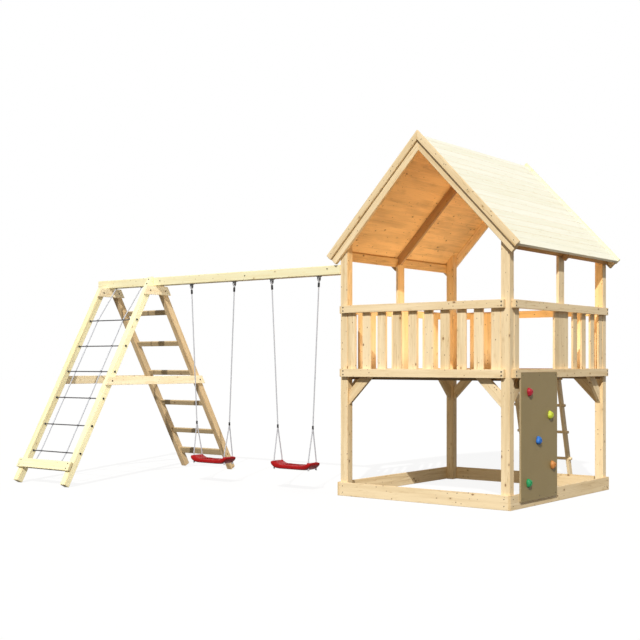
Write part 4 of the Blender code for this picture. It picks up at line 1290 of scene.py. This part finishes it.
def hanger_parts(x):
    """Plate, rounded cheeks, pin with its heads, and two screws."""
    parts = [block(PLATE, (x, BEAM_Y, beam_under - PLATE[2] / 2), 0.0015)]
    outline = [(-CHEEK_R, CHEEK_Z[0]), (CHEEK_R, CHEEK_Z[0])]
    for k in range(9):
        angle = -math.pi * k / 8
        outline.append((CHEEK_R * math.cos(angle), CHEEK_Z[1] + CHEEK_R * math.sin(angle)))
    for sign in (-1, 1):
        sides = [[(end * CHEEK_HALF_T, y, z) for y, z in outline] for end in (1, -1)]
        bm = prism(*sides)
        bmesh.ops.bevel(bm, geom=bm.edges[:], offset=0.0006, segments=1, affect="EDGES")
        bmesh.ops.translate(bm, vec=Vector((x + sign * CHEEK_X, BEAM_Y, beam_under)) + CORNER, verts=bm.verts)
        parts.append(bm)
    pin = [(radius, -height) for radius, height in PIN_HALF] + list(reversed(PIN_HALF))
    parts.append(turned(pin, 20, facing((1, 0, 0), (x, BEAM_Y, PIN_Z))))
    for sign in (-1, 1):
        parts.append(screw((x, BEAM_Y + sign * 0.017, beam_under - PLATE[2]), (0, 0, -1), 0.0040))
    return parts


for word, (_, hanger_xs, _) in SWINGS.items():
    for place, x in zip(("outer", "inner"), hanger_xs):
        name = f"swing_hanger_{word}_{place}_steel"
        settle(name, gather(hanger_parts(x)), grey_steel, "frame", "zinc_steel", f"hanger_{word}_{place}")

# SWING ROPES
# Each rope turns on its pin with a spliced eye, runs down to a plastic connector and parts into
# two branches, which go through the seat and end in knots below it.
EYE_R = 0.0145
EYE_Z = PIN_Z - 0.0027
CONNECTOR_Z = 0.640
HOLE_X = 0.222
HOLE_Y = 0.062
SEAT_Z = 0.214
# Lower and upper side of the seat over SEAT_Z where the ropes go through
HOLE_LOW = 0.0184
HOLE_HIGH = 0.0776
BRANCH_RISE = 0.024  # how far over the seat the branches turn upright
KNOT_DROP = 0.013
SEAT_KNOT = (0.0122, 0.0048)
SLEEVE_DROP = 0.034
SLEEVE_HALF = ((0.0068, 0.024), (0.0100, 0.023), (0.0112, 0.018))
CLAMP = (
    (0.0068, -0.018),
    (0.0096, -0.016),
    (0.0100, -0.008),
    (0.0090, -0.002),
    (0.0090, 0.003),
    (0.0098, 0.009),
    (0.0094, 0.016),
    (0.0068, 0.018),
)
sleeve = [(radius, -height) for radius, height in SLEEVE_HALF] + list(reversed(SLEEVE_HALF))
grey_rope = make_rope_finish("grey_laid_rope", (0.66, 0.68, 0.74), (0.31, 0.32, 0.36))

for word, (seat_x, hanger_xs, connector_xs) in SWINGS.items():
    fittings = []
    for place, hanger_x, connector_x in zip(("outer", "inner"), hanger_xs, connector_xs):
        side = 1 if connector_x > seat_x else -1
        hole_x = seat_x + side * HOLE_X
        joint = (connector_x, BEAM_Y, CONNECTOR_Z)
        eye = [(hanger_x, BEAM_Y + y, EYE_Z + z) for z, y in circle(40, EYE_R)]
        parts = [
            laid_rope(eye, ROPE_R * 0.96, closed=True),
            laid_rope([(hanger_x, BEAM_Y, EYE_Z - EYE_R), joint], ROPE_R),
        ]
        for end in (-1, 1):
            y = BEAM_Y + end * HOLE_Y
            knot = (hole_x, y, SEAT_Z + HOLE_LOW - KNOT_DROP)
            turning = (hole_x, y, SEAT_Z + HOLE_HIGH + BRANCH_RISE)
            parts.append(laid_rope([joint, turning, knot], ROPE_R))
            parts.append(tied_knot(knot, *SEAT_KNOT, f"{word} {place} {end}"))
        name = f"swing_rope_{word}_{place}"
        settle(name, gather(parts), grey_rope, f"swing_{word}", "rope", f"rope_{word}_{place}")
        way = Vector((connector_x - hanger_x, 0, CONNECTOR_Z - EYE_Z)).normalized()
        top = Vector((hanger_x, BEAM_Y, EYE_Z)) + way * (EYE_R + SLEEVE_DROP)
        fittings.append(turned(sleeve, 20, facing(way, top)))
        fittings.append(turned(CLAMP, 24, facing((0, 0, 1), joint)))
    settle(f"swing_fittings_{word}", gather(fittings), black_plastic, f"swing_{word}", "rope")

# SWING SEATS
# Two seats of blow moulded red plastic with raised ends. The ropes go down through moulded
# eyes in the four corners, and a shallow tread pattern keeps a child from sliding.
SEAT_HALF_L = 0.256
SEAT_SIDES = 32
# Half of the seat: share of the half length, half width, lower and upper side over SEAT_Z
SEAT_SHAPE = (
    (1.000, 0.072, 0.060, 0.071),
    (0.998, 0.078, 0.055, 0.075),
    (0.965, 0.088, 0.040, 0.079),
    (0.900, 0.092, 0.023, 0.079),
    (0.820, 0.092, 0.010, 0.075),
    (0.720, 0.090, 0.002, 0.060),
    (0.560, 0.088, 0.000, 0.050),
    (0.280, 0.087, 0.000, 0.048),
)
SEAT_MIDDLE = (0.000, 0.087, 0.000, 0.047)
SEAT_REDS = ((0.46, 0.006, 0.007), (0.27, 0.003, 0.004))
COLLAR = (
    (0.0072, -0.006),
    (0.0145, -0.006),
    (0.0150, 0.001),
    (0.0130, 0.0045),
    (0.0090, 0.0050),
    (0.0072, 0.0030),
)
TREAD = (0.005, 0.120, 0.004)
TREAD_PITCH = 0.018
TREADS_A_SIDE = 6


def make_seat_finish():
    """Glossy red plastic with a fine orange peel, rubbed duller in cloudy patches."""
    finish, tree, shader = new_finish(
        "seat_plastic_red", Specular_IOR_Level=0.16, Coat_Roughness=0.15, Coat_Weight=0.04
    )
    place = object_place(tree)
    cloud = noise(tree, place, 14.0, Detail=5.0)
    peel = noise(tree, place, 520.0, Detail=2.0)
    dress(tree, shader, blend(tree, cloud, *SEAT_REDS), scaled(tree, cloud, 0.35, 0.28), peel, 0.12, 0.0005)
    return finish


def rounded_power(value, power):
    """A value's size raised to a power, with its sign kept."""
    return math.copysign(abs(value) ** power, value)


seat_red = make_seat_finish()
whole_shape = [(-share, *rest) for share, *rest in SEAT_SHAPE] + [SEAT_MIDDLE] + list(reversed(SEAT_SHAPE))
for word, (seat_x, _, _) in SWINGS.items():
    bm = bmesh.new()
    rings = []
    for share, half_w, low, high in whole_shape:
        middle = Vector((seat_x + share * SEAT_HALF_L, BEAM_Y, SEAT_Z + (low + high) / 2)) + CORNER
        ring = []
        for across, up in circle(SEAT_SIDES, 1):
            y = rounded_power(across, 0.45) * half_w
            z = rounded_power(up, 0.6) * (high - low) / 2
            ring.append(bm.verts.new(middle + Vector((0, y, z))))
        rings.append(ring)
    skin(bm, rings)
    for ring in (rings[0], rings[-1]):
        bm.faces.new(ring)
    smooth(bm)
    seat = settle(f"swing_seat_{word}", baked(bm), seat_red, f"swing_{word}", "seat_plastic", f"seat_{word}")
    soft = seat.modifiers.new("rounded", "SUBSURF")
    soft.levels = 1
    soft.render_levels = 1
    parts = []
    for side in (-1, 1):
        for end in (-1, 1):
            spot = (seat_x + side * HOLE_X, BEAM_Y + end * HOLE_Y, SEAT_Z + HOLE_HIGH - 0.004)
            parts.append(turned(COLLAR, 24, facing((0, 0, 1), spot)))
    for k in range(-TREADS_A_SIDE, TREADS_A_SIDE + 1):
        lift = SEAT_Z + SEAT_MIDDLE[3] - GAP + 0.003 * (abs(k) / TREADS_A_SIDE) ** 2
        parts.append(block(TREAD, (seat_x + k * TREAD_PITCH, BEAM_Y, lift), 0.0015))
    settle(f"seat_tread_{word}", gather(parts), seat_red, f"swing_{word}", "seat_plastic")

# FLOOR, LIGHT AND CAMERA
# A plain white floor, an even sky, the sun from the front right about 37 degrees up, and the
# camera where the photo was taken from, low and to the front right.
FLOOR_HALF = 60
SUN_FROM = (0.395, -0.699, 0.596)
EYE = (4.608, -8.582, 1.279)
EYE_TURN = math.radians(37.974)


def shown_apart(tree, usual, shown, output):
    """One shader for the light that reaches the object, another for the camera and reflections."""
    path = node(tree, "LightPath").outputs
    clear = maths(tree, "MAXIMUM", path["Is Camera Ray"], path["Is Glossy Ray"])
    mixed = node(tree, "MixShader", clear, usual.outputs[0], shown.outputs[0])
    tree.links.new(mixed.outputs[0], tree.nodes[output].inputs["Surface"])


bm = bmesh.new()
bmesh.ops.create_grid(bm, x_segments=1, y_segments=1, size=FLOOR_HALF)
floor = in_scene("floor", baked(bm, "floor"))
floor.location = (0, 0, -0.0005)
white, tree, shader = new_finish(
    "floor_white", Base_Color=(0.09, 0.08, 0.065), Roughness=0.9, Specular_IOR_Level=0.0
)
pale = node(tree, "BsdfDiffuse", Color=(0.12, 0.12, 0.12))
glow = node(tree, "Emission", Color=(1, 1, 1), Strength=0.89)
both = node(tree, "AddShader", pale.outputs[0], glow.outputs[0])
shown_apart(tree, shader, both, "Material Output")
floor.data.materials.append(white)

sky = bpy.data.worlds.new("sky")
bpy.context.scene.world = sky
sky.use_nodes = True
tree = sky.node_tree
plain = node(tree, "Background", Color=(1.0, 0.94, 0.86), Strength=0.36)
seen = node(tree, "Background", Color=(1, 1, 1), Strength=1.0)
shown_apart(tree, plain, seen, "World Output")

sun = bpy.data.lights.new("sun", "SUN")
sun.energy = 3.4
sun.angle = math.radians(0.6)
sun.color = (1.0, 0.985, 0.95)
in_scene("sun", sun).rotation_euler = Vector(SUN_FROM).to_track_quat("Z", "Y").to_euler()

# The sunlit deck throws light up under the roof, and a soft lamp under it reaches the back of the
# sandbox. The last lamp brightens the climbing frame's sides that face the tower, and nothing else.
for name, spot, size, turn, power, colour in (
    ("deck_glow", (MID_X, MID_Y, DECK_TOP + 0.06), (1.4, 1.7), (math.pi, 0, 0), 14, (1.0, 0.90, 0.74)),
    ("low_softbox", (MID_X, 0.15, 0.55), (1.5, 0.7), (math.pi / 2, 0, 0), 5.5, (1.0, 0.86, 0.66)),
    ("frame_softbox", (-2.05, BEAM_Y, 1.2), (2.0, 1.2), (0, math.pi / 2, 0), 33, (1.0, 0.95, 0.84)),
):
    glow = bpy.data.lights.new(name, "AREA")
    glow.shape = "RECTANGLE"
    glow.size, glow.size_y = size
    glow.energy = power
    glow.color = colour
    lamp = in_scene(name, glow)
    lamp.location = Vector(spot) + CORNER
    lamp.rotation_euler = turn
    lamp.visible_camera = False
    lamp.visible_glossy = False
lit = bpy.data.collections.new("lit_by_frame_softbox")
for piece in bpy.context.scene.objects:
    if piece.name.startswith(("frame_leg_", "top_tie_", "cross_board_", "rung_side_legs")):
        lit.objects.link(piece)
lamp.light_linking.receiver_collection = lit

eye = bpy.data.cameras.new("camera")
eye.sensor_width = 36
eye.lens = 62.405
eye.shift_y = 0.0678
camera = in_scene("camera", eye)
camera.location = Vector(EYE) + CORNER
camera.rotation_euler = (math.pi / 2, 0, EYE_TURN)
bpy.context.scene.camera = camera
bpy.context.scene.view_settings.view_transform = "Standard"
